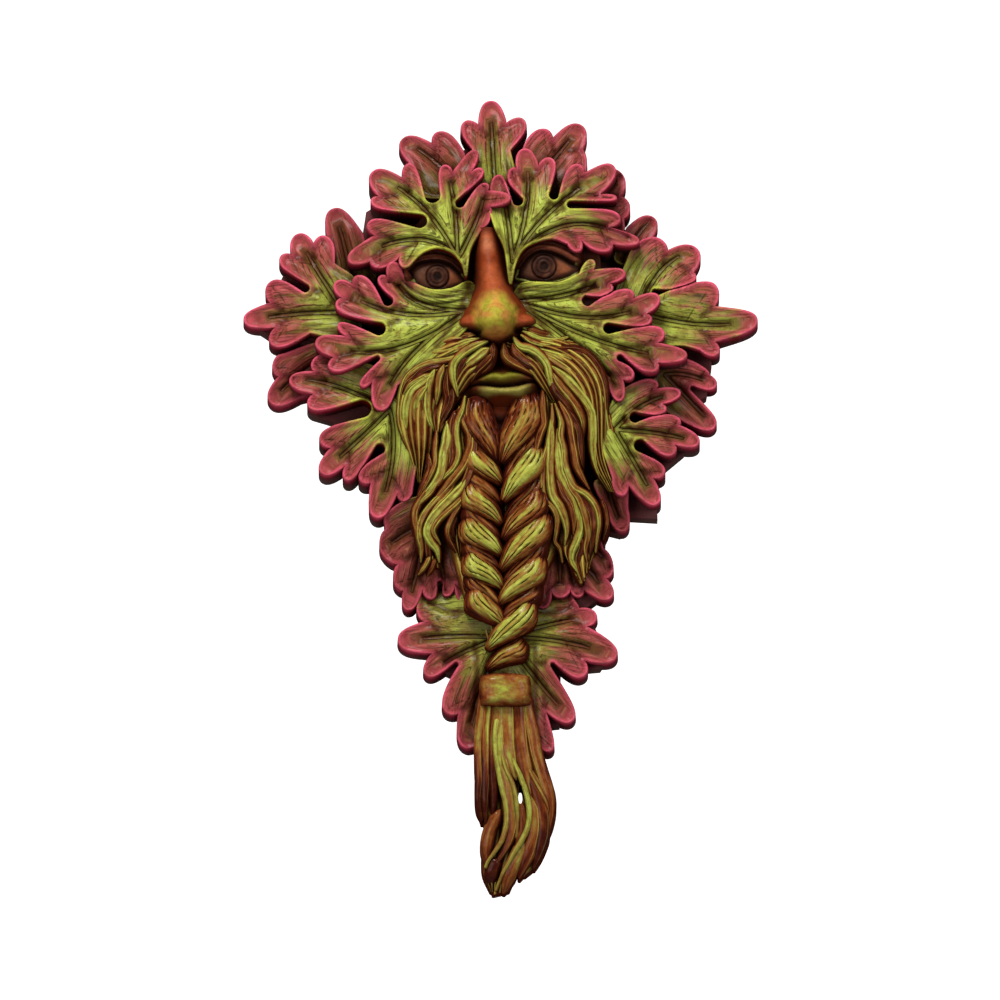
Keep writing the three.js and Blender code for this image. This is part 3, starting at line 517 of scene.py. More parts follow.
# Each leaf has its layer, its heart, a bend for each main vein by the number of its tip, its
# edge of tips and notches in turn, and its root, which is hidden under its neighbours. A dull
# leaf is older and browner; below nought it is fresh and green.
back_leaves = [
    leaf("crown_top", OUTER, (-2, 126), {1: (-3, 142)},
         [(-14.5, 151), (-8.5, 150), (-4, 160), (2.5, 150.8), (9.5, 152)],
         [(4, 139.5), (6, 124), (-12, 124), (-11, 140)], dull=0.1),
    leaf("crown_left", OUTER, (-17, 124), {0: (-27, 136)},
         [(-39.2, 144.6), (-27, 142.3), (-25, 147)],
         [(-15, 139), (-10, 124), (-30, 120), (-36.5, 135)], dull=0.75),
    leaf("crown_right", OUTER, (14, 126), {1: (23, 138)},
         [(18, 148.2), (21, 144.3), (32.5, 150.3), (33, 140), (34.5, 136.5)],
         [(33, 128), (20, 118), (8, 122), (9.5, 140)], dull=0.5),
    leaf("crown_right_low", OUTER, (32, 114), {0: (42, 124)},
         [(49, 130.5), (47.8, 121), (51.7, 118)],
         [(49.5, 112), (48, 106), (30, 110), (30, 124), (40, 132)], dull=0.6),
    leaf("right_top", BEHIND, (50, 96), {0: (55, 106)}, [(61.5, 113.5)],
         [(61, 105), (58, 94), (46, 96), (51, 109)], dull=0.8),
    leaf("right_far", OUTER, (56, 74), {1: (65, 92), 4: (80, 70)},
         [(63, 104.5), (67, 99.3), (79, 100.5), (77.5, 91), (78.2, 88), (62.3, 82, 1.0), (85.8, 86),
          (86, 77), (103, 72), (86, 62.8), (87.3, 58)],
         [(80, 59.5), (72, 61), (54, 60), (46, 78), (52, 98)], dull=-0.45),
    leaf("right_low_outer", BEHIND, (66, 50), {1: (76, 50), 2: (77, 39)},
         [(82.5, 52.3), (84, 50), (86.5, 46), (77.3, 44.5, 0.8), (86, 29.5)],
         [(74, 31), (64, 38), (62, 52), (72, 56)], dull=0.5),
    leaf("left_top", BEHIND, (-60, 88), {0: (-62.5, 102)}, [(-67, 117)],
         [(-55, 106.5), (-50, 88), (-66, 86), (-69, 103)], dull=1.0),
    leaf("left_far", OUTER, (-62, 74), {1: (-82, 74), 4: (-73, 91)},
         [(-91.5, 62), (-90, 68.7), (-102.5, 72), (-92, 78.5), (-92.5, 86.3), (-78, 84, 1.1), (-88, 97),
          (-83.5, 98), (-81, 106.5), (-74.8, 102), (-70.5, 105.5)],
         [(-66.5, 94), (-56, 84), (-58, 63), (-76, 66)], dull=0.25),
    leaf("left_low_outer", BEHIND, (-70, 56), {0: (-82, 49)},
         [(-92, 39.5), (-88.5, 49.5), (-91, 53)],
         [(-88, 58), (-70, 62), (-64, 46), (-80, 41)], dull=0.85),
    leaf("right_low", MIDDLE, (46, 26), {1: (58, 37), 4: (65, 25), 7: (54, 13)},
         [(62.5, 46), (62.5, 43), (72, 42), (64.8, 37), (66.3, 34.6), (54, 31, 1.4), (71.5, 31),
          (71.8, 28.3), (79.5, 22), (69.8, 20.8), (69.5, 17), (56, 19.8, 1.5), (65.7, 9.3),
          (61, 7.5), (63, -2.5), (51.3, 4.5), (48.5, 0.3)],
         [(45, 7), (40, 24), (46, 40)], dull=-0.45),
    leaf("left_low", MIDDLE, (-44, 34), {1: (-43, 14), 4: (-56, 23), 7: (-68, 45)},
         [(-38.5, -1.8), (-41, 1.5), (-49.5, -8), (-51.5, 5.5), (-56, 6.8), (-48, 18.5, 1.3),
          (-61.5, 6.8), (-61.8, 12.5), (-71.5, 10), (-67.5, 19.5), (-72, 23), (-55, 34.5, 2.1),
          (-76.5, 36), (-74.5, 41), (-84, 47), (-74, 50), (-75, 54)],
         [(-66, 57), (-44, 48), (-38, 36), (-33, 20), (-35, 2)], dull=-0.1),
    leaf("right_under", LOWER, (43, 6), {0: (45, -2)}, [(49.5, -12.5)],
         [(41, -3), (38, 6), (50, 8), (51, -4)], dull=0.9),
    leaf("under_right", LOWER, (24, -10), {0: (36, -18), 1: (34, -26), 2: (28, -26), 3: (24, -26)},
         [(45, -28.5), (42, -31.5), (44.5, -39), (33.5, -36), (31.5, -38.8), (28.2, -35.3),
          (24.5, -39), (20.5, -36.5), (17, -43.5)],
         [(13, -36), (12, -10), (36, -6), (41, -20)], dull=0.7),
    leaf("under_left", LOWER, (-28, -10), {1: (-24, -24), 3: (-33, -28), 5: (-38, -14)},
         [(-13.3, -42.3), (-18, -34), (-21.5, -38.5), (-24, -33.7, 0.8), (-27.3, -39.8), (-31, -36),
          (-37, -44), (-38.5, -36.5), (-42, -34), (-40, -26), (-47.5, -20.5)],
         [(-45.6, -12.5), (-45, -6), (-30, 0), (-8, -8), (-9, -36)], dull=1.0),
    leaf("bottom", LOWER, (2, -56),
         {1: (20, -50), 2: (24, -57), 4: (16, -74), 6: (-8, -78), 8: (-14, -61), 9: (-20, -55)},
         [(30, -40.5), (31.5, -43.5), (38.5, -46.5), (34.5, -50.8), (46.5, -62.5), (33.5, -64.5),
          (33.7, -70.5), (21, -66.7, 0.7), (29, -88), (18.3, -85), (20, -100.5), (5, -84),
          (-13.5, -99), (-16.5, -85.5), (-22, -84.5), (-17.5, -66.3, 0.7), (-29.5, -70), (-27, -61.7),
          (-40.5, -56.3), (-29.5, -48.8), (-33, -44.5)],
         [(-27, -34), (-8, -27), (12, -27), (26, -33)], dull=0.45, green_tips=(0, 10),
         shaded=[[(-28, -41), (-18, -45), (-9, -44)], [(10, -44), (20, -45), (30, -42)],
                 [(-10, -58), (-9, -72), (-10, -84)], [(14, -60), (14, -74), (14, -88)]],
         lifts=[((-22, -34), 12, -9), ((0, -32), 12, -6), ((20, -34), 12, -9)]),
]
front_leaves = [
    leaf("brow_left", FRONT, (-17, 92), {2: (-34, 101), 5: (-31, 114), 7: (-18.5, 116), 10: (-9, 110)},
         [(-38.8, 89.8), (-38.5, 97.3), (-48, 90), (-52, 93), (-60.5, 93.3), (-50, 103), (-52.8, 107.5),
          (-32, 108, 1.7), (-51.5, 117), (-48.5, 118.8), (-51.2, 128.6), (-39, 126), (-36.5, 131.7),
          (-27, 118.5, 1.8), (-22.3, 131.5), (-19, 128.5), (-9.5, 137), (-11.5, 128.7), (-7, 129.5),
          (-16, 115.5, 1.2), (-5.5, 123.5), (-5, 120.3), (4, 116.5), (-4.5, 114), (-3.5, 112.5)],
         [(-7, 105.5), (-12, 96), (-13.5, 85), (-15, 90), (-19, 94.8), (-25, 97), (-31, 95.2),
          (-35, 91.5)],
         dull=-0.5, shaded=[[(-13.5, 84), (-14.5, 90)], [(-11.5, 96), (-6.5, 106)]],
         green_tips=(0,), lifts=[((4, 116.5), 7, 7), ((-4, 121), 6, 4)]),
    leaf("brow_right", FRONT, (5, 91), {0: (3, 110), 2: (11, 117), 5: (20, 112), 8: (28, 107)},
         [(-0.5, 127.5), (7.2, 116.5, 1.3), (4, 129.5), (6.8, 130), (9.5, 138), (15.3, 131),
          (20.3, 134), (21.5, 118.8, 1.2), (31, 131.5), (33.8, 128), (45.5, 131), (40, 119.5),
          (46.5, 118), (28.3, 115, 1), (48, 110), (43.5, 106.3), (55.5, 101), (45, 99.8),
          (43, 96.8), (32, 101.5), (31.5, 96)],
         [(27, 99), (21, 101), (14, 99.3), (9, 96), (6, 90), (4, 82), (2, 96), (-1.5, 104),
          (-4, 112)],
         dull=-0.4, shaded=[[(4, 81), (4, 89)], [(2.5, 95), (-1, 104)]]),
    leaf("cheek_left", CHEEK, (-12, 72), {0: (-36, 54), 3: (-44, 57), 6: (-42, 72), 9: (-34, 77)},
         [(-48, 33.5), (-51, 44.5), (-55.5, 43), (-49, 53.5, 0.8), (-68, 50), (-66.5, 54.5),
          (-73.5, 60.8), (-61, 62.5), (-64.5, 67.5), (-48.3, 65.3, 1.6), (-65.5, 75.5), (-63, 78.2),
          (-66, 84.2), (-59, 83.7), (-57, 87), (-44.8, 76.5, 1.3), (-48.3, 86.3), (-45, 86.2),
          (-43, 92)],
         [(-38.5, 87), (-34, 83.5), (-27, 80.3), (-19, 80.5), (-12, 83.5), (-9, 78), (-12, 66),
          (-28, 52), (-41, 43)],
         folds=[[(-39, 85), (-34, 80.3), (-27, 77.6), (-20, 77.4), (-13, 79)],
                [(-41, 83), (-35, 77.6), (-28, 75.3), (-21, 75), (-14, 76.3)],
                [(-40, 79.5), (-34, 74.8), (-28, 72.8), (-22, 73)]],
         dull=-0.1, shaded=[[(-12, 85), (-9.5, 80), (-11, 74), (-14, 68)],
                            [(-12.5, 83), (-13, 77), (-16, 70)],
                            [(-13, 79), (-16, 72), (-20, 65), (-26, 58)]],
         lifts=[((-9, 80), 6, -5), ((-43, 90), 5, 5)]),
    leaf("cheek_right", CHEEK, (6, 76), {1: (26, 79), 4: (38, 70), 7: (42, 60), 10: (38, 52)},
         [(37, 93), (37.3, 89), (50, 88.3), (43.8, 84), (45, 81.8), (35, 76.5, 1.4), (52.5, 81),
          (53.3, 77.8), (63.5, 78.8), (58.5, 71.8), (60.5, 69.3), (43.5, 65.5, 1.4), (65.3, 64.8),
          (63, 60), (74.5, 55.3), (63, 52.3), (62.3, 49), (48, 53.8, 0.9), (53.3, 46.8),
          (49, 45.5), (48, 37.3)],
         [(42, 46), (30, 54), (10, 64), (5, 76), (8, 82.5), (16, 83), (24, 83.5), (32, 87.5)],
         folds=[[(33, 85.3), (26, 81), (18, 79.8), (10, 80)],
                [(36, 84.3), (28, 78.4), (20, 77), (12, 77.6)], [(39, 84.5), (33, 79.3)]],
         dull=-0.5, shaded=[[(6, 84), (5, 79), (8, 72), (12, 67)], [(7.5, 82.5), (8.5, 77), (12, 70)],
                            [(9, 78), (13, 71), (20, 63)]],
         green_tips=(0,), lifts=[((6, 80), 6, -5)]),
]

# A low backing fills the gaps that show the wall between the leaves, and a recess moulded in
# the back takes a nail's head
backing_rise = 12.5
backing_edge = [(-26, 136), (0, 147), (22, 140), (40, 116), (66, 91), (76, 84), (84, 66), (84.5, 54),
                (82.5, 42), (70, 34), (73.5, 19.5), (62, 10), (62.8, -7), (51.5, -6.2), (48, -13.2),
                (42, -12), (41.5, -37.5), (34, -43), (43, -62), (40, -66.5), (24, -68), (23.5, -89.5),
                (18, -90), (12, -80), (-8, -80), (-15, -90), (-18, -70), (-24.5, -67), (-22, -42),
                (-38, -20), (-46, 4), (-57, 12), (-67, 32), (-74, 34), (-74, 46), (-66, 60), (-92, 66),
                (-97, 69), (-87, 90), (-66, 96), (-55, 106), (-53.5, 116), (-44, 122)]

# The recess in millimetres, turned into squares
recess_width = 12 / across / 1000
recess_height = 16 / up / 1000
recess_depth = 8 / out / 1000
recess_top = 70 / up / 1000


def plate(name, edge, rise, foot=0.0):
    """A flat-faced body inside an edge."""
    ring = np.array([complex(*p) for p in edge])
    corners, faces = triangles_within(ring, np.zeros(0))
    bare = {"edge": (9, 20), "vein": (9, 9), "place": (0, 2), "wall": (9, 0)}
    return body(name, corners, faces, faces, np.full(len(corners), rise), bare, foot=foot)


backing = plate("backing", backing_edge, backing_rise)
half = recess_width / 2
recess = plate("recess", [(-half, recess_top), (half, recess_top), (half, recess_top - recess_height),
                          (-half, recess_top - recess_height)], recess_depth, foot=-2)
leaves = joined("leaves", [backing] + back_leaves + front_leaves, [recess])


def colour(value):
    """An sRGB hex colour as the linear colour that a shader takes."""
    parts = [int(value[k:k + 2], 16) / 255 for k in (1, 3, 5)]
    return [p / 12.92 if p <= 0.04045 else ((p + 0.055) / 1.055) ** 2.4 for p in parts] + [1.0]


def wire(tree, node, wires):
    """Set the inputs of a node, by name or in a row, to values or to links from other nodes."""
    for key, value in wires.items() if isinstance(wires, dict) else enumerate(wires):
        if isinstance(value, bpy.types.Node):
            value = value.outputs[0]
        if isinstance(value, bpy.types.NodeSocket):
            tree.links.new(value, node.inputs[key])
        else:
            node.inputs[key].default_value = value


def add(tree, kind, wires=(), stops=(), **settings):
    """Add a node with its settings, its inputs as values or links, and a ramp's stops."""
    node = tree.nodes.new("ShaderNode" + kind)
    for name, value in settings.items():
        setattr(node, name, value)
    wire(tree, node, wires)
    for k, (place, shade) in enumerate(stops):
        ramp = node.color_ramp
        stop = ramp.elements[k] if k < 2 else ramp.elements.new(place)
        stop.position = place
        stop.color = colour(shade)
    return node


def new_material(name):
    """A material, its node tree and its shader."""
    material = bpy.data.materials.new(name)
    material.use_nodes = True
    return material, material.node_tree, material.node_tree.nodes["Principled BSDF"]


def map_values(tree, name):
    """The two values that a UV map holds."""
    values = add(tree, "SeparateXYZ", [add(tree, "UVMap", uv_map=name)])
    return values.outputs["X"], values.outputs["Y"]


def laid(tree, under, shade, source, none, full, strength, within=None, blend="SMOOTHSTEP"):
    """Lay a colour over another, from nothing to its full strength as the source goes from
    one value to the other, and only within a share if there is one."""
    amount = add(tree, "MapRange", [source, none, full, 0.0, strength], interpolation_type=blend)
    if within is not None:
        amount = add(tree, "Math", [amount, within], operation="MULTIPLY")
    over = colour(shade) if isinstance(shade, str) else shade
    return add(tree, "MixRGB", [amount, under, over])


def bare_back(tree, paint, carving):
    """Leave the flat back as bare, smooth resin: the colour, and the carving's bump strength."""
    normal = add(tree, "TexCoord").outputs["Normal"]
    backward = add(tree, "SeparateXYZ", [normal]).outputs["Y"]
    behind = add(tree, "MapRange", [backward, 0.8, 0.9, 0.0, 1.0])
    paint = add(tree, "MixRGB", [behind, paint, colour("#B9A98C")])
    bump = add(tree, "Math", [behind, -carving, carving], operation="MULTIPLY_ADD")
    return paint, bump


def painted_leaf():
    """Hand-painted resin: a green heart shading through brown to dull red fingers, a bright
    bead on the rims, a lighter crest that is partly a painted highlight, a dark wash with painted shade
    in the veins, creases and crevices, darker down the sides, and satin varnish."""
    material, tree, shader = new_material("painted_resin_leaf")
    rim, tip = map_values(tree, "edge")
    vein, line = map_values(tree, "vein")
    reach, dull = map_values(tree, "place")
    crease, wall = map_values(tree, "wall")
    place = add(tree, "TexCoord").outputs["Object"]

    # Brush marks 7.7 mm long and dabs 1.9 mm wide, each as a number of marks to the metre
    brush_scale = 1000 / 7.692
    dab_scale = 1000 / 1.923
    # Streaks 0.6 mm and sweeps 2.2 mm wide, measured out from a vein; along a finger there is
    # room for nearly two, and they drift over 3 to 4 mm towards the rim
    streak_scale = (1 / 0.588, 1.8, 1 / 3.333)
    sweep_scale = (1 / 2.222, 1.6, 1 / 4)
    brush = add(tree, "TexNoise", {
        "Vector": place, "Scale": brush_scale, "Detail": 5.0, "Roughness": 0.6})
    dabs = add(tree, "TexNoise", {
        "Vector": place, "Scale": dab_scale, "Detail": 5.0, "Roughness": 0.7})
    ribs = add(tree, "CombineXYZ", [vein, reach, rim])
    fine = add(tree, "Mapping", {"Vector": ribs, "Scale": streak_scale})
    streak = add(tree, "TexNoise", {
        "Vector": fine, "Scale": 1.0, "Detail": 3.0, "Roughness": 0.55})
    broad = add(tree, "Mapping", {"Vector": ribs, "Scale": sweep_scale})
    sweep = add(tree, "TexNoise", {
        "Vector": broad, "Scale": 1.0, "Detail": 3.0, "Roughness": 0.6})

    # The ground colour runs from red at a tip to green some 20 mm from it, unevenly, and an old
    # leaf is browner
    drift = add(tree, "Math", [sweep, 22.0, -11.0], operation="MULTIPLY_ADD")
    from_tip = add(tree, "Math", [tip, drift], operation="ADD")
    from_tip = add(tree, "Math", [dull, -6.0, from_tip], operation="MULTIPLY_ADD")
    from_tip = add(tree, "Math", [from_tip, 26.0], operation="DIVIDE")
    ground = add(tree, "ValToRGB", [from_tip], stops=[
        (0.0, "#B24A52"), (0.14, "#A24A48"), (0.3, "#8A4838"), (0.42, "#7C5832"),
        (0.54, "#828038"), (0.72, "#A0AA44")])
    tired = add(tree, "Math", [dull, 0.75], operation="MULTIPLY")
    ground = add(tree, "MixRGB", [tired, ground, colour("#56301E")])
    tipward = add(tree, "MapRange", [from_tip, 0.4, 0.75, 1.0, 0.0], interpolation_type="SMOOTHSTEP")

    # A lighter colour is dragged over the swell between vein and rim, partly the paint's own
    # dry brushing and partly a painted highlight on the crest
    span = add(tree, "Math", [vein, rim], operation="ADD")
    split = add(tree, "Math", [vein, span], operation="DIVIDE")
    rest = add(tree, "Math", [1.0, split], operation="SUBTRACT")
    swell = add(tree, "Math", [split, rest], operation="MULTIPLY")
    swell = add(tree, "MapRange", [swell, 0.12, 0.25, 0.0, 1.0])
    dragged = add(tree, "MapRange", [sweep, 0.62, 0.36, 0.05, 0.5], interpolation_type="SMOOTHSTEP")
    aged = add(tree, "MapRange", [dull, 0.3, 1.0, 1.0, 0.5])
    for share in (dragged, aged):
        swell = add(tree, "Math", [swell, share], operation="MULTIPLY")
    crest = add(tree, "MixRGB", [tipward, colour("#B0BC52"), colour("#B45E56")])
    ground = add(tree, "MixRGB", [swell, ground, crest])

    # Distances from the channel inside the bead and from the two scored lines of a vein
    channel = add(tree, "Math", [rim, 1.8], operation="SUBTRACT")
    channel = add(tree, "Math", [channel], operation="ABSOLUTE")
    fade = add(tree, "MapRange", [reach, 0.72, 1.0, 1.0, 0.0])
    twin = add(tree, "Math", [fade, 0.4, 0.3], operation="MULTIPLY_ADD")
    scored = add(tree, "Math", [vein, twin], operation="SUBTRACT")
    scored = add(tree, "Math", [scored], operation="ABSOLUTE")

    # Each coat: where it lies, the values where it starts and is full, its strength and colour
    for source, none, full, strength, shade, within in (
        (brush, 0.48, 0.64, 0.5, "#6A3E22", None),
        (dabs, 0.5, 0.7, 0.3, "#4C2A12", None),
        (sweep, 0.52, 0.66, 0.55, "#4A2E16", None),
        (streak, 0.54, 0.64, 0.75, "#2C1208", None),
        (streak, 0.4, 0.28, 0.25, "#BE9C5A", None),
        # Painted shade along the creases and the shaded lines
        (crease, 2.2, 0.2, 0.75, "#3A170B", None),
        # Painted shade in the valley beside each vein
        (vein, 2.0, 0.4, 0.45, "#46300E", None),
        (rim, 3.2, 0.9, 0.5, "#B04450", tipward),
        # Partly a dark wash, partly painted shade, in the channel inside the bead
        (channel, 0.8, 0.0, 0.35, "#4A1C12", None),
        (scored, 0.36, 0.06, 0.95, "#160B04", fade),
        (line, 0.6, 0.1, 0.7, "#200E06", None),
    ):
        ground = laid(tree, ground, shade, source, none, full, strength, within)

    # The bead is brushed last with a bright colour, worn in places, and dimmed in the hollows
    # near the creases as painted shade
    bright = add(tree, "MixRGB", [tipward, colour("#B4B444"), colour("#D0546A")])
    worn = add(tree, "MapRange", [brush, 0.38, 0.6, 1.0, 0.3])
    hollow = add(tree, "MapRange", [crease, 0.8, 3.0, 0.35, 1.0])
    for share in (aged, hollow):
        worn = add(tree, "Math", [worn, share], operation="MULTIPLY")
    face = laid(tree, ground, bright, rim, 1.1, 0.1, 1.0, worn)

    # The sides darken over the 20 mm below a rim, and the backing is as dark as their foot
    backing = add(tree, "MapRange", [dull, 1.3, 1.8, 0.0, 13.0])
    wall = add(tree, "Math", [wall, backing], operation="ADD")
    down = add(tree, "Math", [brush, 10.0, -5.0], operation="MULTIPLY_ADD")
    down = add(tree, "Math", [wall, down], operation="ADD")
    down = add(tree, "Math", [down, 20.0], operation="DIVIDE")
    tip_side = add(tree, "ValToRGB", [down], stops=[
        (0.0, "#CC4A60"), (0.15, "#B43C50"), (0.3, "#8C2C3A"), (0.5, "#643236"), (1.0, "#5C4842")])
    hollow_side = add(tree, "ValToRGB", [down], stops=[
        (0.0, "#94501E"), (0.15, "#7E2616"), (0.6, "#5A1612")])
    side = add(tree, "MixRGB", [tipward, hollow_side, tip_side])
    on_side = add(tree, "MapRange", [wall, 0.7, 1.6, 0.0, 1.0])
    whole = add(tree, "MixRGB", [on_side, face, side])

    # A dark wash from ambient occlusion in the crevices and under overlapping leaves: partly
    # the paint's own wash, partly painted shade; less on the sides
    crevice_shade = add(tree, "AmbientOcclusion", {"Distance": 0.008}, samples=6).outputs["AO"]
    spared = add(tree, "Math", [on_side, -0.4, 1.0], operation="MULTIPLY_ADD")
    whole = laid(tree, whole, "#2E0C07", crevice_shade, 0.95, 0.25, 0.9, spared, "LINEAR")
    whole, carved = bare_back(tree, whole, 0.8)

    gloss = add(tree, "MapRange", [dabs, 0.3, 0.7, 0.34, 0.5])
    dry = add(tree, "Math", [on_side, 0.35], operation="MULTIPLY")
    gloss = add(tree, "Math", [gloss, dry], operation="ADD")
    varnish = add(tree, "MapRange", [on_side, 0.0, 1.0, 0.11, 0.0])
    grain = add(tree, "Math", [streak, 2.0, dabs], operation="MULTIPLY_ADD")
    relief = add(tree, "Bump", {"Height": grain, "Strength": carved, "Distance": 0.0005})
    wire(tree, shader, {
        "Base Color": whole, "Roughness": gloss, "Coat Weight": varnish, "Coat Roughness": 0.27,
        "Specular IOR Level": 0.0, "Normal": relief})
    return material


finished(leaves, painted_leaf())

# The face
# The face between the leaves, carved in one with them: wide-set eyes under heavy lids, a
# broad nose, lips and a short chin that the plait grows from. It is the same resin, painted
# orange-brown and olive and glossed with varnish.
face_edge = [(-30, 112), (24, 112), (38, 100), (40, 84), (36, 62), (26, 34), (12, 26),
             (-10, 26), (-26, 34), (-36, 62), (-42, 80), (-40, 98)]
face_rise = 34.0
face_foot = 9.0

# An eye's centre and reach are its ball's, and the lids run round the opening
eyes = [
    dict(centre=(-25.5, 86), reach=(13, 8.5), iris=complex(-25, 86.2), size=4.6,
         lids=[(-36.5, 88), (-33.5, 91), (-30, 92), (-25, 92.4), (-20, 91), (-16.5, 88), (-13.8, 83.8),
               (-19, 81.6), (-24, 80.4), (-29, 81), (-33, 83.5), (-36.5, 88)]),
    dict(centre=(18.5, 90), reach=(14, 9), iris=complex(17.6, 90.2), size=4.9,
         lids=[(6.5, 86), (8.5, 90), (11.5, 93.8), (15.5, 96), (20, 95.8), (24.5, 94.2), (28.5, 91.8),
               (32, 89.4), (28.5, 87), (25, 85.7), (20, 84.7), (14, 84.6), (6.5, 86)]),
]

# The nose by its rows from the lip up: its middle, half its width, its ridge, and how square
# its section is
nose_rows = [57, 60, 62.5, 65, 68, 72, 76, 80, 88, 96, 104]
nose_middle = [-1.5, -1.5, -1.4, -1.4, -1.5, -1.8, -2.2, -2.6, -3.8, -4.8, -5.3]
nose_width = [5, 7.5, 13, 16.5, 16.8, 14.6, 11.6, 9.2, 7.2, 6.1, 4.8]
nose_ridge = [37, 43, 50, 54, 55.5, 54.5, 52.3, 49.5, 45.5, 42.5, 40]
nose_swell = [2, 2, 1.5, 1.3, 1.25, 1.3, 1.6, 2, 2.4, 2.4, 2.4]
nose_tip = complex(-1.8, 66.5)
tip_reach = (8, 8)
tip_rise = 57.5
wing_tips = [complex(-12.4, 66.2), complex(10.4, 66.6)]
wing_reach = (4.8, 4.2)
wing_rise = 46
wing_folds = [[(-8.4, 62.5), (-8.8, 66), (-8.4, 69), (-10.5, 72)],
              [(5.8, 63), (6, 66.5), (5.8, 69.5), (8, 72.5)]]
nostrils = [[(-15.5, 64.4), (-11.5, 63.4), (-8, 62.6)], [(6.5, 63.2), (10, 64.3), (14, 65.2)]]
upper_lip = [(-11, 42.6), (-6, 44.8), (-2.5, 45.6), (1, 44.8), (5, 46), (9, 45.8), (14, 44.2)]
mouth_line = [(-12, 42.2), (-6, 42.4), (0, 41.4), (6, 42.0), (10, 43), (15, 43.8)]
lower_lip = [(-9, 40), (-3, 39.2), (2, 39), (8, 39.6), (12, 41.4)]
chin = complex(1, 32)


def oval(points, centre, reach):
    """0 at the centre of an oval, 1 on its edge."""
    away = points - complex(*centre) if isinstance(centre, tuple) else points - centre
    return (away.real / reach[0]) ** 2 + (away.imag / reach[1]) ** 2


def dome(points, centre, reach, low, top):
    """The rise of a dome over an oval, and nothing outside it."""
    share = 1 - oval(points, centre, reach)
    return np.where(share > 0, low + (top - low) * np.sqrt(np.clip(share, 0, None)), 0)


def blended(first, second, soft):
    """The higher of two forms, with a soft fillet where they meet."""
    return np.maximum(first, second) + np.clip(soft - abs(first - second), 0, None) ** 2 / (4 * soft)


def ease(value, start, end):
    """0 up to the start, 1 from the end on, and a soft step between them."""
    t = np.clip((value - start) / (end - start), 0, 1)
    return t * t * (3 - 2 * t)


def beside(points, line, width):
    """1 on a line, fading to nothing a few widths away."""
    return hump(nearest(points, smooth_line(line, 0.5))[0], width)


# The skin's corners, closer together round the eyes
skin_step = 0.8
eye_step = 0.36
eye_zone = (15, 11)
edge = smooth_line(face_edge + face_edge[:1], 2.0)[:-1]
coarse = sheet_of_points(edge, skin_step)
fine = sheet_of_points(edge, eye_step)
by_eyes = np.min([oval(fine, eye["centre"], eye_zone) for eye in eyes], axis=0) < 1
far_from_eyes = np.min([oval(coarse, eye["centre"], eye_zone) for eye in eyes], axis=0) > 1
skin, skin_faces = triangles_within(edge, np.concatenate((coarse[far_from_eyes], fine[by_eyes])))

# The cheeks fall away to the sides, and the eyes lie in shallow sockets
rise = face_rise - 4 * (skin.real / 38) ** 2
for eye in eyes:
    rise -= 4 * np.exp(-oval(skin, eye["centre"], (15, 9)))
lid_rise = 37.6
lid_width = 7
lower_drop = 3.2
ball_rises = (32.4, 36.4)
eye_tilt = 0.12
pupil_radius = 1.7
opening, lid_gap, iris_gap = [], [], []
for eye in eyes:
    ring = smooth_line(eye["lids"], 0.5)[:-1]
    gap = nearest(skin, np.append(ring, ring[0]))[0]
    open_here = inside(skin, ring)
    aside = skin.real - eye["centre"][0]
    below = ease(skin.imag - eye["centre"][1] - eye_tilt * aside, 1.5, -1.5)
    # A raised edge, a fold above it, a lower lid that stands back, and an end that dies away
    lid = lid_rise + 0.7 * hump(gap - 0.7, 0.5) - 0.07 * gap**2
    lid -= 0.9 * hump(gap - 3.2, 0.45)
    lid -= below * (lower_drop + 0.3 * gap**2)
    lid -= 1.2 * np.clip(abs(aside) - eye["reach"][0] + 1.5, 0, 4) ** 2
    rise = np.where(gap < lid_width, np.maximum(rise, lid), rise)
    # An iris that stands a little proud inside two cut rings, with a dent for the pupil
    away = abs(skin - eye["iris"])
    ball = dome(skin, eye["centre"], eye["reach"], *ball_rises)
    ball += 0.25 * ease(away, eye["size"], eye["size"] - 0.5)
    ball -= 0.5 * hump(away - eye["size"], 0.25) + 0.35 * hump(away - 3.0, 0.25)
    ball -= 0.5 * ease(away, pupil_radius + 0.2, pupil_radius - 0.2)
    rise = np.where(open_here, ball, rise)
    opening.append(open_here)
    lid_gap.append(gap)
    iris_gap.append(away / eye["size"] + 0.07 * rough_hand(skin, 1.4, 9.0))

# The nose with its wings, then the lips and the chin
course, width, ridge, swell = (
    np.interp(skin.imag, nose_rows, sizes)
    for sizes in (nose_middle, nose_width, nose_ridge, nose_swell))
across_nose = np.hypot(skin.real - course, 1.8) / width
on_nose = across_nose < 1
bridge = rise + (ridge - rise) * np.clip(1 - np.clip(across_nose, 0, 1) ** swell, 0, 1) ** 0.8
in_rows = (skin.imag > nose_rows[0]) & (skin.imag < nose_rows[-1] + 2)
rise = np.where(on_nose & in_rows, np.maximum(rise, bridge), rise)
rise = blended(rise, dome(skin, nose_tip, tip_reach, 40, tip_rise), 6)
for wing in wing_tips:
    rise = blended(rise, dome(skin, wing, wing_reach, 34, wing_rise), 5)
for crease in wing_folds:
    rise -= 1.1 * beside(skin, crease, 0.8)
for nostril in nostrils:
    rise -= 5 * beside(skin, nostril, 1.0)
rise -= 1.5 * beside(skin, [(-0.5, 56), (0.5, 48)], 1.6)
mouth = 30 + 11.5 * np.exp(-oval(skin, (2, 42), (15, 9)) ** 1.5)
rise = np.where(skin.imag < 52, np.maximum(rise, mouth), rise)
rise += 3.2 * beside(skin, upper_lip, 1.9) + 3.4 * beside(skin, lower_lip, 2.0)
rise -= 3.2 * beside(skin, mouth_line, 0.7)
rise = np.maximum(rise, dome(skin, chin, (9, 5), 32, 36))
rise += 0.25 * rough_hand(skin, 4, 3.0) + 0.1 * rough_hand(skin, 1.3, 4.0)


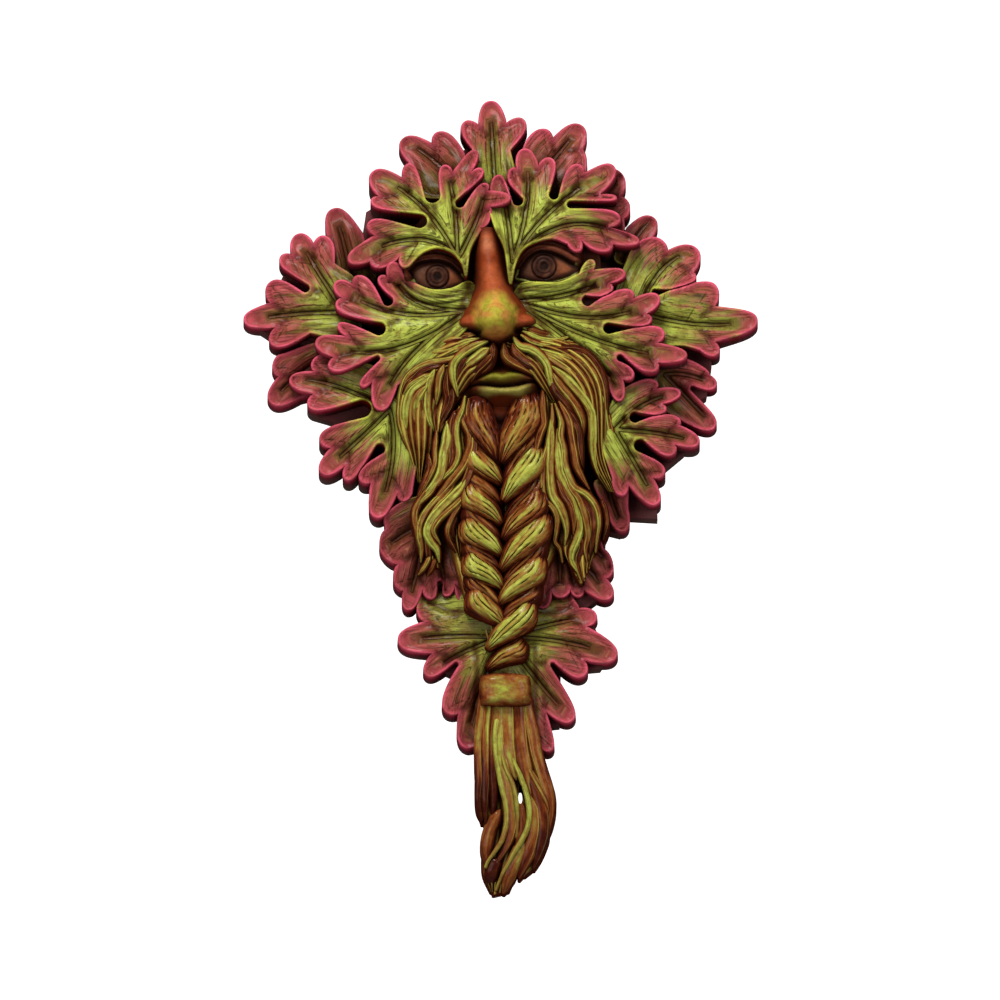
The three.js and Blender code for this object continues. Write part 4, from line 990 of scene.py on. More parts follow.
blotch = 0.5 + 0.5 * rough_hand(skin, 3.5, 7.0)
on_face = ease(across_nose, 1.05, 0.75) * in_rows
on_tip = ease(oval(skin, complex(-2, 69), (9, 9.5)) + 0.5 * (blotch - 0.5), 1.35, 0.2)
philtrum = ease(skin.imag, 60.5, 58.5) * ease(skin.imag, 46, 49) * ease(abs(skin.real), 9, 5)

# The coats of paint in the order they are laid: the nose first, from its sides to its crest,
# then the wings, the tip and the nostrils, then the lips and the chin, and last the eyes
coats = [
    ("#702C12", on_face),
    ("#9C4A28", on_face * ease(across_nose, 0.72, 0.25)),
    # Painted shade down the flanks of the upper bridge
    ("#4E1A0A", on_face * ease(across_nose, 0.7, 1.0) * ease(skin.imag, 72, 80) * 0.8),
    ("#70280E", on_face * hump(skin.imag - 92.5, 3) * 0.75),
    # A painted highlight across the upper bridge
    ("#B87450", on_face * hump(skin.imag - 98.5, 3) * ease(across_nose, 0.7, 0.2) * 0.7),
    # Painted shade where the bridge runs in under the brows
    ("#4A1A0C", on_face * ease(skin.imag, 101, 105) * 0.8),
]
coats += [("#9C4826", ease(oval(skin, wing, (4, 3.6)), 1.1, 0.3) * 0.8) for wing in wing_tips]
coats += [("#5E240E", beside(skin, crease, 0.9) * 0.7) for crease in wing_folds]
coats += [("#A8A035", on_tip * 0.9), ("#C07A3E", on_tip * ease(blotch, 0.45, 0.65) * 0.75)]
coats += [("#120402", beside(skin, nostril, 1.1)) for nostril in nostrils]
coats += [
    ("#8A3C1C", philtrum),
    ("#5E2A14", beside(skin, [(-3.4, 57), (-4.5, 51)], 1.2) * 0.8),
    ("#76721F", beside(skin, upper_lip, 1.8) * ease(abs(skin.real - 1), 10, 4)),
    ("#928A40", beside(skin, lower_lip, 1.9) * ease(abs(skin.real - 2), 12, 6)),
    ("#140603", beside(skin, mouth_line, 0.75)),
    # Dark orange-brown under the lower lip: partly the paint's own colour, partly painted shade
    ("#571F08", ease(oval(skin, chin + 2j, (11, 4.5)), 1.2, 0.5)),
    # Painted shade below the chin, where the face goes in under the plait
    ("#1E0C08", ease(skin.imag, 32, 29)),
]
for eye, open_here, gap, away in zip(eyes, opening, lid_gap, iris_gap):
    centre = complex(*eye["centre"])
    aside = skin.real - centre.real
    above = skin.imag - centre.imag - eye_tilt * aside > 0
    around = ease(gap, 7, 3) * ~open_here
    beneath = around * ~above * ease(abs(aside), eye["reach"][0] - 1, eye["reach"][0] - 3)
    corner = open_here * ease(gap, 0.8, 2.5)
    coats += [
        # The lids, with a dark line above and an olive one below
        ("#3A1408", around),
        ("#5E3020", around * above * hump(gap - 1.9, 0.9)),
        ("#1A0A06", around * above * hump(gap, 0.7)),
        ("#8B9148", beneath * ease(gap, 1.6, 0.9)),
        ("#6B6336", beneath * ease(gap, 1.2, 2.0) * 0.9),
        # The ball, lighter at its corners, with painted shade under the lids
        ("#4A281A", open_here),
        ("#8A4E30", corner * ease(aside, 2, 7) * 0.75),
        ("#5E3E2C", corner * ease(-aside, 2, 7) * 0.6),
        ("#1A0A05", open_here * hump(gap, 1.6)),
        # The iris with its two dark rings, and the pupil
        ("#341A12", open_here * ease(away, 1.0, 0.93)),
        ("#5A3826", open_here * ease(away, 0.95, 0.85) * ease(blotch, 0.45, 0.7) * 0.7),
        ("#120704", open_here * hump(away - 1.0, 0.09) * ease(blotch, 0.1, 0.4)),
        ("#150A06", open_here * hump(away - 0.64, 0.09) * ease(blotch, 0.65, 0.35)),
        ("#060302", open_here * ease(away, 0.44, 0.3)),
    ]
tone = np.tile(colour("#4A200E"), (len(skin), 1))
for shade, amount in coats:
    amount = np.clip(amount, 0, 1)[:, None]
    tone = tone * (1 - amount) + np.array(colour(shade)) * amount

skin_back = triangles_within(edge, np.zeros(0))[1]
face = body("face", skin, skin_faces, skin_back, rise, {"wall": (0, 0)}, foot=face_foot)
layer = face.data.color_attributes.new("paint", "FLOAT_COLOR", "POINT")
shades = np.tile(colour("#2A0E08"), (len(face.data.vertices), 1))
shades[:len(skin)] = tone
layer.data.foreach_set("color", shades.ravel())


def painted_face():
    """Hand-painted resin under a gloss varnish: soft blends of orange-brown, olive and near
    black, laid over one another wet, with a fine mottle and small bright highlights."""
    material, tree, shader = new_material("painted_resin_face")
    paint = add(tree, "Attribute", attribute_name="paint").outputs["Color"]
    place = add(tree, "TexCoord").outputs["Object"]
    # Dabs 2.2 mm wide
    dabs = add(tree, "TexNoise", {
        "Vector": place, "Scale": 1000 / 2.222, "Detail": 5.0, "Roughness": 0.65})
    crevice_shade = add(tree, "AmbientOcclusion", {"Distance": 0.006}, samples=6).outputs["AO"]
    whole = laid(tree, paint, "#3A1C0C", dabs, 0.42, 0.68, 0.4, blend="LINEAR")
    # Painted shade in the crevices, from ambient occlusion
    whole = laid(tree, whole, "#1A0805", crevice_shade, 0.8, 0.2, 0.7, blend="LINEAR")
    relief = add(tree, "Bump", {"Height": dabs, "Strength": 0.3, "Distance": 0.0003})
    wire(tree, shader, {
        "Base Color": whole, "Roughness": 0.48, "Specular IOR Level": 0.04, "Coat Weight": 0.03,
        "Coat Roughness": 0.35, "Normal": relief})
    return material


finished(face, painted_face())

# The moustache and the beard
# Long ribbons of hair that sweep from the nose and the chin, each cut with a knife-edged
# groove beside it. They are cast with the face and painted dark brown first, with green and
# orange-brown dragged over their crests.
hair_foot = 0.4

# A ribbon is carved this much wider than it is drawn
hair_spread = 1.3

# The courses of the ribbons are drawn as the eye sees them from 9 degrees below, when they
# stand at this rise
view_lift = 0.156
seen_rise = 20.0

# The fall of the beard, as its rise by the row
beard_rows = [-35, -25, -10, 10, 35, 62]
beard_rises = [20, 25, 31.5, 36.5, 40.5, 44]

# Masses under the ribbons: left and right edges, and the rises at the edges and the middle
beard_masses = [
    ([(-22, 44), (-25, 20), (-26, 4), (-20, -20), (-14, -40), (-7, -60)],
     [(22, 44), (26, 20), (28, 4), (24, -18), (15, -38), (11, -60)],
     [(28, 29), (26, 28), (20, 25), (16, 22)], 9),
    ([(-22, 27), (-25.5, 9.5), (-31, 1), (-35, -9.5), (-33, -18), (-31.5, -25)],
     [(-13, 37), (-11, 22), (-10.5, 9.5), (-17, -3), (-24.5, -13.5), (-24, -28)],
     [(34, 38), (30, 34), (25, 30), (19, 23)], 5),
    ([(-17, -3), (-22.5, -14), (-16.5, -25)],
     [(-11, 3), (-14, -12), (-15.5, -25)],
     [(26, 30), (20, 24)], 3),
    ([(16, 41), (15, 22), (15, 12), (18, -2.5), (23, -11), (22.5, -18), (27, -25)],
     [(20, 40), (22, 30), (22, 19), (22, 9), (24, 1.5), (28, -5), (31, -12), (30, -19.5), (29, -27),
      (33, -35)],
     [(33, 37), (29, 33), (24, 29), (18, 22)], 3),
    ([(19, 40), (21, 30), (21, 19), (21, 9), (23, 1.5), (27, -5), (30, -12), (29, -19.5), (28, -27),
      (32, -35)],
     [(20, 41), (27, 31), (32, 14), (34, 6), (40.5, -8), (39.5, -18), (36, -27)],
     [(33, 37), (29, 33), (24, 29), (18, 22)], 4),
]

# Ribbons of the beard: course, width, tone, and lift over the fall
beard_ribbons = [
    # The left lock
    ([(-14, 41), (-15, 36), (-17, 31), (-17.5, 26), (-16.8, 20), (-17, 16), (-19, 12), (-23, 8),
      (-28, 3)], 1.6, 0.9, 0.8),
    ([(-15.5, 37), (-14.5, 31), (-12, 26), (-11.8, 21), (-13, 17), (-15, 13), (-19, 8), (-24, 2),
      (-29, -4)], 2.6, 0.55, 0.4),
    ([(-21, 30), (-21, 23), (-22.3, 18), (-23, 13), (-24, 9), (-27, 5), (-31, 1)], 3.4, 1.0, 1.0),
    ([(-18, 35), (-19, 28), (-19.3, 22), (-19.3, 16), (-21, 11)], 2.6, 0.2, 0.3),
    ([(-12.5, 40), (-12.6, 34), (-10.8, 27), (-10.2, 20), (-11.3, 13), (-14, 6), (-19, 0),
      (-24, -5)], 3.2, 0.3, 0.2),
    ([(-25.3, 27), (-26, 20), (-26, 14), (-28, 9), (-31, 3)], 1.4, 0.6, 1.2),
    ([(-28.5, 18), (-28, 12), (-30, 7), (-33, 0)], 1.6, 0.3, 0.3),
    ([(-28, 8), (-29.5, 3), (-32.5, -1.5), (-34, -5), (-34, -9), (-33, -13), (-32.5, -18),
      (-31.5, -23)], 2.2, 0.45, 0.2),
    ([(-24.5, 8), (-27, 3), (-30, 0), (-33, -3)], 1.2, 0.85, 1.0),
    ([(-22, 3), (-26, -1), (-30, -6), (-32, -10.5), (-32.3, -15), (-31.3, -20), (-31.5, -25)],
     1.9, 0.75, 0.8),
    ([(-13, 9), (-16, 4), (-20, 0), (-24, -4), (-27.5, -8.5), (-29, -13), (-27.5, -17),
      (-25, -20.5), (-24.2, -25)], 3.2, 1.0, 1.0),
    ([(-18, 7), (-22, 2), (-26, -2.5), (-29.5, -8)], 2.4, 0.6, 0.4),
    ([(-13.5, 3), (-17, -1.5), (-21, -5), (-25, -9), (-26.8, -13), (-24, -18)], 1.9, 0.7, 0.7),
    ([(-12, 9), (-14, 3), (-16, -2), (-19, -7), (-21, -12), (-20.5, -16), (-17.5, -21)],
     1.5, 0.5, 0.3),
    ([(-17.5, -6), (-19.5, -12), (-18, -18)], 2.4, 0.12, -1.5),
    ([(-29.5, -15), (-28.8, -20), (-28, -26)], 2.0, 0.15, -0.5),
    ([(-28, -23), (-30, -27), (-32.5, -30)], 1.3, 0.7, 1.0),
    ([(-26, -24), (-27, -27), (-29, -30.5)], 1.3, 0.35, 0.5),
    # The right lock
    ([(17, 43), (17, 36), (17.5, 30), (16, 26), (14.5, 20), (14.5, 14)], 2.2, 0.35, 0.3),
    ([(20.8, 38), (21, 31), (20, 25), (19, 20), (17.5, 15), (17, 9), (17.2, 3), (18.5, -1),
      (21.5, -4), (23, -8), (22.5, -13), (22, -17), (24, -20), (25, -25)], 1.8, 0.65, 0.6),
    ([(20.8, 33), (20.5, 26), (20.3, 20), (20, 13), (20.5, 6), (21.5, 1), (24, -3), (26, -8),
      (26.8, -13), (26, -18)], 2.8, 0.85, 0.8),
    ([(22, 38), (24.5, 31), (24.3, 25), (25.5, 20), (26, 14), (28, 8), (30, 4.5), (34, 2), (37, -1),
      (39, -5), (39.7, -10), (39, -15), (38.3, -21)], 1.9, 0.8, 1.0),
    ([(23.5, 39), (27.5, 31), (28.5, 25), (29.5, 19), (30.5, 13), (33, 8), (35.5, 4)],
     2.2, 0.45, 0.4),
    ([(23, 28), (23, 20), (23.5, 14), (24, 10), (27, 4), (30, -1), (31.5, -7), (32, -12),
      (30.5, -17), (28.7, -21), (28.6, -25), (31, -29), (33.5, -32.5)], 2.8, 1.0, 0.9),
    ([(22.5, 9), (25, 2), (28, -3), (29.5, -9), (29.3, -14)], 2.0, 0.3, 0.2),
    ([(26.5, 10), (28, 5), (31.5, 0), (33.5, -5), (34.8, -10), (35.3, -15), (34.2, -20),
      (34.8, -25)], 2.1, 0.6, 0.6),
    ([(30, 4), (34, -1), (36.5, -5), (37.4, -10), (37, -16), (36, -22)], 3.0, 0.12, 0.0),
    ([(31, -13), (32.7, -19), (31.2, -24), (32, -29)], 2.8, 0.12, -0.6),
    ([(40.5, 0), (42, -5), (42.5, -10), (41.2, -16)], 1.6, 0.2, -3.0),
    ([(15.5, 22), (17, 14), (19.5, 6), (20, 0)], 2.0, 0.15, -0.6),
    ([(26, 37), (31, 28), (32, 20), (33, 13)], 2.2, 0.1, -0.8),
]
moustache_masses = [
    ([(-22, 53), (-31, 51), (-38, 44), (-41, 35), (-40, 25), (-36, 15), (-33, 6)],
     [(-16, 47), (-21, 42), (-25, 35), (-26, 27), (-27, 17), (-31, 5)],
     [(36, 41), (34, 39.5), (29, 34), (23, 26)], 5),
    ([(-3, 58), (-10, 56), (-17, 50), (-20, 43), (-19, 38)],
     [(-2, 51), (-6, 47), (-11, 44.5), (-15, 40), (-17.5, 37)],
     [(41, 44), (39, 43), (34, 37)], 4),
    ([(-7, 61), (-15, 62), (-22, 62), (-30, 57.5)],
     [(-8, 57), (-16, 54.5), (-24, 50), (-32, 50)],
     [(39, 43), (38, 42), (33, 35)], 4),
    ([(-22, 50.5), (-28, 40.5), (-28, 32), (-26, 24)],
     [(-14, 48.5), (-15, 40), (-18, 33), (-23, 24)],
     [(35, 39), (31, 35)], 3),
    ([(12, 62), (24, 60.5), (34, 55.5), (41, 46.5), (43, 36), (43, 17), (47, 1)],
     [(12, 54.5), (20, 49.5), (27, 42.5), (32, 34.5), (34.5, 24), (37, 11), (43, 2)],
     [(37, 42), (36, 41), (29, 34), (23, 26)], 6),
    ([(8, 62.5), (15, 61), (24, 61.5), (29, 61)],
     [(12, 56), (18, 54), (25, 53), (31, 55)],
     [(38, 43), (33, 36)], 3),
    ([(3, 59), (9, 57), (15, 53), (20, 46), (25, 36)],
     [(1.5, 53), (5, 49), (11, 47), (15, 43), (21, 35)],
     [(41, 45), (39, 44), (34, 37)], 4),
]

# Ribbons of the moustache: course, width, tone, and rises at the lip and at the end
moustache_ribbons = [
    # The left half
    ([(-8.5, 64), (-14, 62.3), (-20, 59.8), (-26, 58.6), (-29.3, 60), (-28.8, 62.3)],
     1.8, 0.9, (46, 37)),
    ([(-10, 65.5), (-16, 65), (-23, 66)], 2.2, 0.5, (44, 37)),
    ([(-12, 65), (-18, 62.8), (-25, 61.3)], 2.4, 0.15, (44, 36)),
    ([(-9, 62.7), (-15, 60.2), (-20, 58.2), (-24, 57), (-29, 56.3), (-32.5, 56.8)],
     1.5, 0.9, (46, 36)),
    ([(-5, 63), (-10, 61), (-15, 58), (-18.5, 54), (-19, 49), (-18, 45), (-17, 41)],
     2.5, 1.0, (48, 40)),
    ([(-4.5, 60), (-8, 57.3), (-11, 55), (-15, 52.3)], 2.9, 1.0, (49, 43)),
    ([(-3, 58), (-6, 54.5), (-9.5, 51), (-11.5, 47)], 2.6, 0.15, (48, 41)),
    ([(-2.8, 62), (-3, 57), (-4.8, 53), (-8.5, 49.5)], 2.4, 0.2, (48, 42)),
    ([(-13, 57), (-16, 52), (-16.5, 47), (-15, 43)], 2.4, 0.12, (45, 39)),
    ([(-12, 60.5), (-17, 57), (-22, 55.2), (-28, 54.3), (-33, 52), (-37, 48.5), (-39, 43.5),
      (-40, 37), (-40, 31), (-38.3, 25), (-35.7, 18), (-34, 10)], 1.7, 0.75, (46, 27)),
    ([(-23, 53.5), (-30, 51.3), (-34, 48), (-37.3, 45), (-38.8, 40), (-38.7, 34), (-37.5, 28)],
     2.6, 0.12, (43, 32)),
    ([(-28, 50), (-32, 48), (-36, 45.5), (-38.5, 42)], 1.2, 0.9, (43.5, 39)),
    ([(-26.5, 50), (-31, 46.5), (-35, 43), (-36.9, 38), (-37.3, 33), (-36.5, 27), (-35, 23)],
     2.8, 1.0, (44, 32)),
    ([(-29, 45.5), (-33, 40), (-33.8, 35), (-33.5, 30), (-32.5, 26), (-30, 22)],
     3.0, 0.85, (43, 31)),
    ([(-26, 51.5), (-28.3, 46), (-29, 41), (-29, 36), (-28, 31), (-26.3, 27.5)],
     2.6, 1.0, (44, 35)),
    ([(-22.5, 53.5), (-24.5, 48), (-25, 43), (-25.5, 38)], 2.0, 0.7, (44, 39)),
    ([(-21.3, 52), (-21.6, 45), (-21, 40), (-22, 36), (-24, 30), (-25, 24), (-25.5, 18)],
     2.2, 0.15, (43, 32)),
    ([(-30.8, 42), (-31.3, 37), (-31, 32), (-28.8, 26.5)], 2.0, 0.25, (41, 32)),
    ([(-36.7, 26), (-35, 20), (-33.3, 15), (-32.8, 9)], 1.9, 0.3, (31.5, 26)),
    ([(-30.3, 23), (-29.2, 19), (-29.8, 14)], 1.6, 0.75, (32, 28)),
    ([(-19, 44), (-19.8, 38), (-22.5, 33), (-25, 27)], 2.4, 0.08, (41, 35)),
    # The right half
    ([(8.5, 65.5), (12.5, 62.6), (18, 61.2), (24, 61.4), (29, 61.7), (33, 61)], 1.6, 0.9, (46, 36)),
    ([(5.5, 64.5), (8, 61), (12, 60), (16, 57.5), (19, 53.5), (20, 49), (20.8, 45.5), (24, 42)],
     2.5, 1.0, (48, 41)),
    ([(5, 62), (6.3, 58.5), (10, 55), (15, 52), (17.3, 47)], 3.2, 0.25, (48, 42)),
    ([(1.6, 62), (2.5, 57), (6, 54.3), (11, 52), (15.5, 48.5)], 2.6, 0.4, (48, 42)),
    ([(14, 60), (20, 58), (25, 56), (30, 53), (35, 48.5), (38, 44), (40, 40), (41.3, 35),
      (42.5, 29), (44.8, 21)], 2.5, 0.95, (45, 30)),
    ([(22, 58.5), (26, 57), (30, 55.5), (36, 52), (39, 48), (41, 42.5)], 1.3, 0.75, (43, 37)),
    ([(12, 59.5), (18, 57), (23, 54), (28, 50.5), (33, 44.5), (36, 40), (38, 34.5), (38.7, 28),
      (40, 21), (41, 15), (43.3, 11)], 2.3, 0.7, (46, 29)),
    ([(20.5, 53), (26, 48.3), (30, 44), (34, 39), (36.5, 34), (37, 28), (37, 22), (37.5, 16),
      (39.7, 8.5)], 2.9, 1.0, (45, 29)),
    ([(20.8, 50.5), (24, 45.5), (28, 40.5), (31, 36), (33, 31), (33.2, 25)], 2.4, 0.6, (44, 36)),
    ([(20.5, 47), (22, 43), (26, 38.5), (29.3, 34), (31, 29)], 2.2, 0.12, (43, 36)),
    ([(18, 60), (26, 59.7), (32, 59), (36.5, 56), (39.5, 51.5), (41.5, 46), (42.3, 39), (43, 33)],
     2.6, 0.1, (43, 34)),
    ([(42.3, 36), (43.7, 30), (45, 24), (46.8, 18)], 1.8, 0.4, (33, 28)),
    ([(9, 67), (14, 64.3), (18, 63.2), (23, 63.1), (28.5, 65.2)], 1.7, 0.9, (45, 37)),
    ([(11, 67.8), (17, 66), (23, 64.6)], 2.2, 0.3, (44, 37)),
    ([(30, 50), (34, 46), (36.5, 42.5)], 1.6, 0.15, (42, 38)),
    ([(39.3, 40), (40.3, 33), (41.5, 26), (43.5, 18)], 1.8, 0.15, (35, 28)),
]


def seen(course, rises):
    """Points as the eye sees them from a little below, put back on the sheet."""
    return course - 1j * view_lift * (rises - seen_rise)


def strip_faces(rows, columns):
    """Triangles of a strip of corners, in rows across it."""
    corner = np.arange((rows - 1) * columns).reshape(rows - 1, columns)[:, :-1].ravel()
    first = np.stack((corner, corner + columns, corner + 1), 1)
    second = np.stack((corner + 1, corner + columns, corner + columns + 1), 1)
    return np.concatenate((first, second))


def strip(name, corners, rise, paint, foot):
    """A body from a strip of corners that runs down a lock, its left side first."""
    rows, columns = corners.shape
    front = strip_faces(rows, columns)
    sides = np.arange(rows * columns).reshape(rows, columns)
    head, tail = sides[0], sides[-1]
    back = [[a, d, b] for a, b, d in zip(sides[:-1, 0], sides[:-1, -1], sides[1:, 0])]
    back += [[b, d, e] for b, d, e in zip(sides[:-1, -1], sides[1:, 0], sides[1:, -1])]
    back += [[head[0], b, a] for a, b in zip(head[1:-1], head[2:])]
    back += [[tail[0], a, b] for a, b in zip(tail[1:-1], tail[2:])]
    return body(name, corners.ravel(), front, np.array(back), rise.ravel(), paint, foot=foot)


# A lock's corners, and the height and the sway of the strands carved in it
lock_step = 1.1
strand_columns = 6
strand_height = 1.3
strand_sway = 0.3
sway_length = 11


def lock(left, right, rises, strands, tone=0.3, foot=hair_foot, *, seed):
    """A mass of hair between two edges, with a ridge for each strand."""
    left, right = smooth_line(left, 0.5), smooth_line(right, 0.5)
    length = max(abs(np.diff(left)).sum(), abs(np.diff(right)).sum())
    t = np.linspace(0, 1, round(length / lock_step) + 1)
    a, b = (np.interp(t, np.linspace(0, 1, len(line)), line) for line in (left, right))
    q = np.linspace(0, 1, strands * strand_columns + 1)
    corners = a[:, None] * (1 - q) + b[:, None] * q
    steps = np.linspace(0, 1, len(rises))
    low_rise, top_rise = (np.interp(t, steps, column)[:, None] for column in zip(*rises))
    down = t[:, None] * length
    phase = q * strands + strand_sway * np.sin(q * np.pi) * np.sin(down / sway_length + seed)
    crest = abs(np.sin(np.pi * phase))
    rise = low_rise + (top_rise - low_rise) * np.sin(np.pi * (0.12 + 0.76 * q))
    rise = rise + strand_height * crest - 0.6
    tones = tone + 0.2 * np.sin(np.floor(phase) * 2.4 + seed)
    down = np.broadcast_to(down, crest.shape)
    paint = {"strand": (1 - crest.ravel(), down.ravel()), "finish": (tones.ravel(), seed),
             "wall": (0, 0)}
    return strip("lock", corners, rise, paint, foot)


# How much of a ribbon's length narrows: at a loose head, at a head under the tie, and at the
# tail. A band that starts below this row has a loose head.
loose_head = 0.18
bound_head = 0.03
ribbon_tail = 0.3
loose_row = -90

# A ribbon's corners, its least half width, and the depth of its grooves by its width
ribbon_step = 0.8
ribbon_columns = 17
least_half = 0.28
groove_depth = 0.11


def ribbon(course, width, tone, rises, foot=hair_foot, *, seed, lip=None, tail_tone=0.0):
    """One ribbon of hair along its course, narrow at both ends; its rises run down it.

    A ribbon is grooved, unless it has a lip: then it is smooth, with one raised edge on its
    right for 1, on its left for -1, and none for 0, and its tone turns to its tail's.
    """
    line = smooth_line(course, ribbon_step)
    t = np.concatenate(([0], np.cumsum(abs(np.diff(line)))))
    length = t[-1]
    t = t / length
    crest = np.interp(t, np.linspace(0, 1, len(rises)), rises)
    line = seen(line, crest)
    side = 1j * np.gradient(line)
    side /= abs(side)
    bound = lip is not None and course[0][1] > loose_row
    head = bound_head if bound else loose_head
    taper = np.clip(t / head, 0, 1) ** 0.6 * np.clip((1 - t) / ribbon_tail, 0, 1) ** 0.6
    half = np.maximum(hair_spread * width / 2 * taper, least_half)
    c = np.linspace(-1, 1, ribbon_columns)
    corners = line[:, None] + side[:, None] * half[:, None] * c
    round_off = 1 - np.sqrt(1 - (0.96 * c) ** 2)
    wander = 0.14 * np.sin(t * length / 7 + seed * 5)[:, None]
    hand = np.sign(np.sin(seed * 37 + 1))
    groove = hump(c - hand * 0.2 - wander, 0.17)
    if lip is None:
        ridge = hump(c - hand * 0.62 - wander, 0.17)
        ridge = ridge + 0.8 * hump(c + hand * 0.5 - wander, 0.15) * (width > 1.7)
        crown = 0.4 - 0.4 * ridge + 0.25 * groove + 0.45 * abs(c) ** 6
        tones = tone * (0.8 + 0.3 * hand * c - 0.25 * groove) - 0.25 * abs(c) ** 3
        stretch = 1.0
    else:
        groove = 0.25 * groove
        ridge = abs(lip) * hump(c - lip * 0.8, 0.13) * np.ones_like(wander)
        crown = 0.4 - 0.4 * ridge + 0.15 * abs(c) ** 6
        turned = np.clip((t - 0.4) / 0.5, 0, 1)[:, None]
        tones = tone + (tail_tone - tone) * turned + 0.12 * lip * c - 0.1 * abs(c) ** 3
        stretch = 0.45
    rise = crest[:, None] - half[:, None] * round_off * 0.8 - 1.8 * (1 - taper[:, None])
    rise += groove_depth * width * (ridge - groove) * taper[:, None]
    run = np.broadcast_to(t[:, None] * length * stretch, rise.shape)
    streaks = np.broadcast_to(seed + 0.3 * c, rise.shape)
    paint = {"strand": (np.clip(crown, 0, 1).ravel(), run.ravel()),
             "finish": (tones.ravel(), streaks.ravel()), "wall": (0, 0)}
    return strip("ribbon", corners, rise, paint, foot)


def painted_hair():
    """Resin painted near black, with streaks of orange-brown and then green dragged along the
    crests with a dry brush, so that the grooves stay dark; satin varnish over it."""
    material, tree, shader = new_material("painted_resin_hair")
    crown, run = map_values(tree, "strand")
    tone, seed = map_values(tree, "finish")
    _, wall = map_values(tree, "wall")
    place = add(tree, "TexCoord").outputs["Object"]

    # Dabs 2.4 mm wide, and streaks 6.3 mm long, with two or three across a strand
    dab_scale = 1000 / 2.381
    streak_scale = (2.2, 1 / 6.25, 3.7)
    dabs = add(tree, "TexNoise", {
        "Vector": place, "Scale": dab_scale, "Detail": 5.0, "Roughness": 0.65})
    grain = add(tree, "CombineXYZ", [crown, run, seed])
    grain = add(tree, "Mapping", {"Vector": grain, "Scale": streak_scale})
    streak = add(tree, "TexNoise", {
        "Vector": grain, "Scale": 1.0, "Detail": 4.0, "Roughness": 0.65})

    # Brown to green by the strand's tone and the streaks, then the brushed crests, the dark
    # edges of each strand, the sides, and painted shade in the crevices from ambient occlusion
    shift = add(tree, "Math", [streak, 1.5, -0.75], operation="MULTIPLY_ADD")
    level = add(tree, "Math", [tone, shift], operation="ADD")
    ground = add(tree, "ValToRGB", [level], stops=[
        (0.0, "#38100A"), (0.18, "#602812"), (0.38, "#824C22"), (0.56, "#886C30"),
        (0.76, "#94963A"), (1.0, "#AAB050")])
    lively = add(tree, "MapRange", [tone, 0.1, 0.6, 0.35, 1.0])
    on_side = add(tree, "MapRange", [wall, 0.3, 0.9, 0.0, 1.0])
    crevice_shade = add(tree, "AmbientOcclusion", {"Distance": 0.004}, samples=6).outputs["AO"]
    whole = laid(tree, ground, "#52280E", dabs, 0.45, 0.68, 0.5, blend="LINEAR")
    whole = laid(tree, whole, "#CCBE52", crown, 0.2, 0.02, 0.7, lively)
    whole = laid(tree, whole, "#3A1407", crown, 0.45, 1.0, 0.85)
    whole = add(tree, "MixRGB", [on_side, whole, colour("#4E1C0C")])
    whole = laid(tree, whole, "#260C04", crevice_shade, 0.75, 0.15, 0.75, blend="LINEAR")
    whole, carved = bare_back(tree, whole, 0.7)

    varnish = add(tree, "MapRange", [on_side, 0.0, 1.0, 0.16, 0.0])
    relief = add(tree, "Bump", {"Height": streak, "Strength": carved, "Distance": 0.0005})
    wire(tree, shader, {
        "Base Color": whole, "Roughness": 0.42, "Specular IOR Level": 0.0,
        "Coat Weight": varnish, "Coat Roughness": 0.13, "Normal": relief})
    return material


hair_paint = painted_hair()
beard = [lock(*mass, seed=k + 1.0) for k, mass in enumerate(beard_masses)]
for k, (course, width, tone, lift) in enumerate(beard_ribbons):
    rises = [np.interp(row, beard_rows, beard_rises) + lift for _, row in course]
    beard.append(ribbon(course, width, tone, rises, seed=k * 0.37))
beard = joined("beard", beard)
finished(beard, hair_paint)

moustache = [lock(*mass, foot=face_foot, seed=k + 8.0) for k, mass in enumerate(moustache_masses)]
for k, (course, width, tone, rises) in enumerate(moustache_ribbons):
    moustache.append(ribbon(course, width, tone, rises, foot=face_foot, seed=k * 0.41 + 3))
moustache = joined("moustache", moustache)
finished(moustache, hair_paint)

# The plait
# Two strands of the beard plaited into a column of plump lobes down the middle, cut with
# short nicks. Cast with the rest; each lobe is green in its middle and orange-brown round it.

# Lobes, in turn from the left and the right: head, foot, width and tone
plait_lobes = [
    ((-9.5, 38), (-1.5, 13), 14, 0.42),
    ((11.5, 40), (1, 12), 15, 0.66),
    ((-12, 18.5), (0.5, 4), 11, 0.8),
    ((14.5, 20), (1.5, -3), 12.5, 1.0),
    ((-13, 4), (0.5, -12), 11, 0.8),
    ((16, 2.5), (1.5, -18), 12, 0.6),
    ((-13.5, -9.5), (0.5, -24), 11.5, 1.0),
    ((17.5, -7), (0.5, -30), 12.5, 0.9),
    ((-12.5, -23), (1, -37), 11, 1.0),
    ((16, -24), (0, -43), 11.5, 0.95),
    ((-11, -37), (1.5, -52), 11, 0.85),
    ((12.5, -42), (-5, -61), 11, 1.0),
]

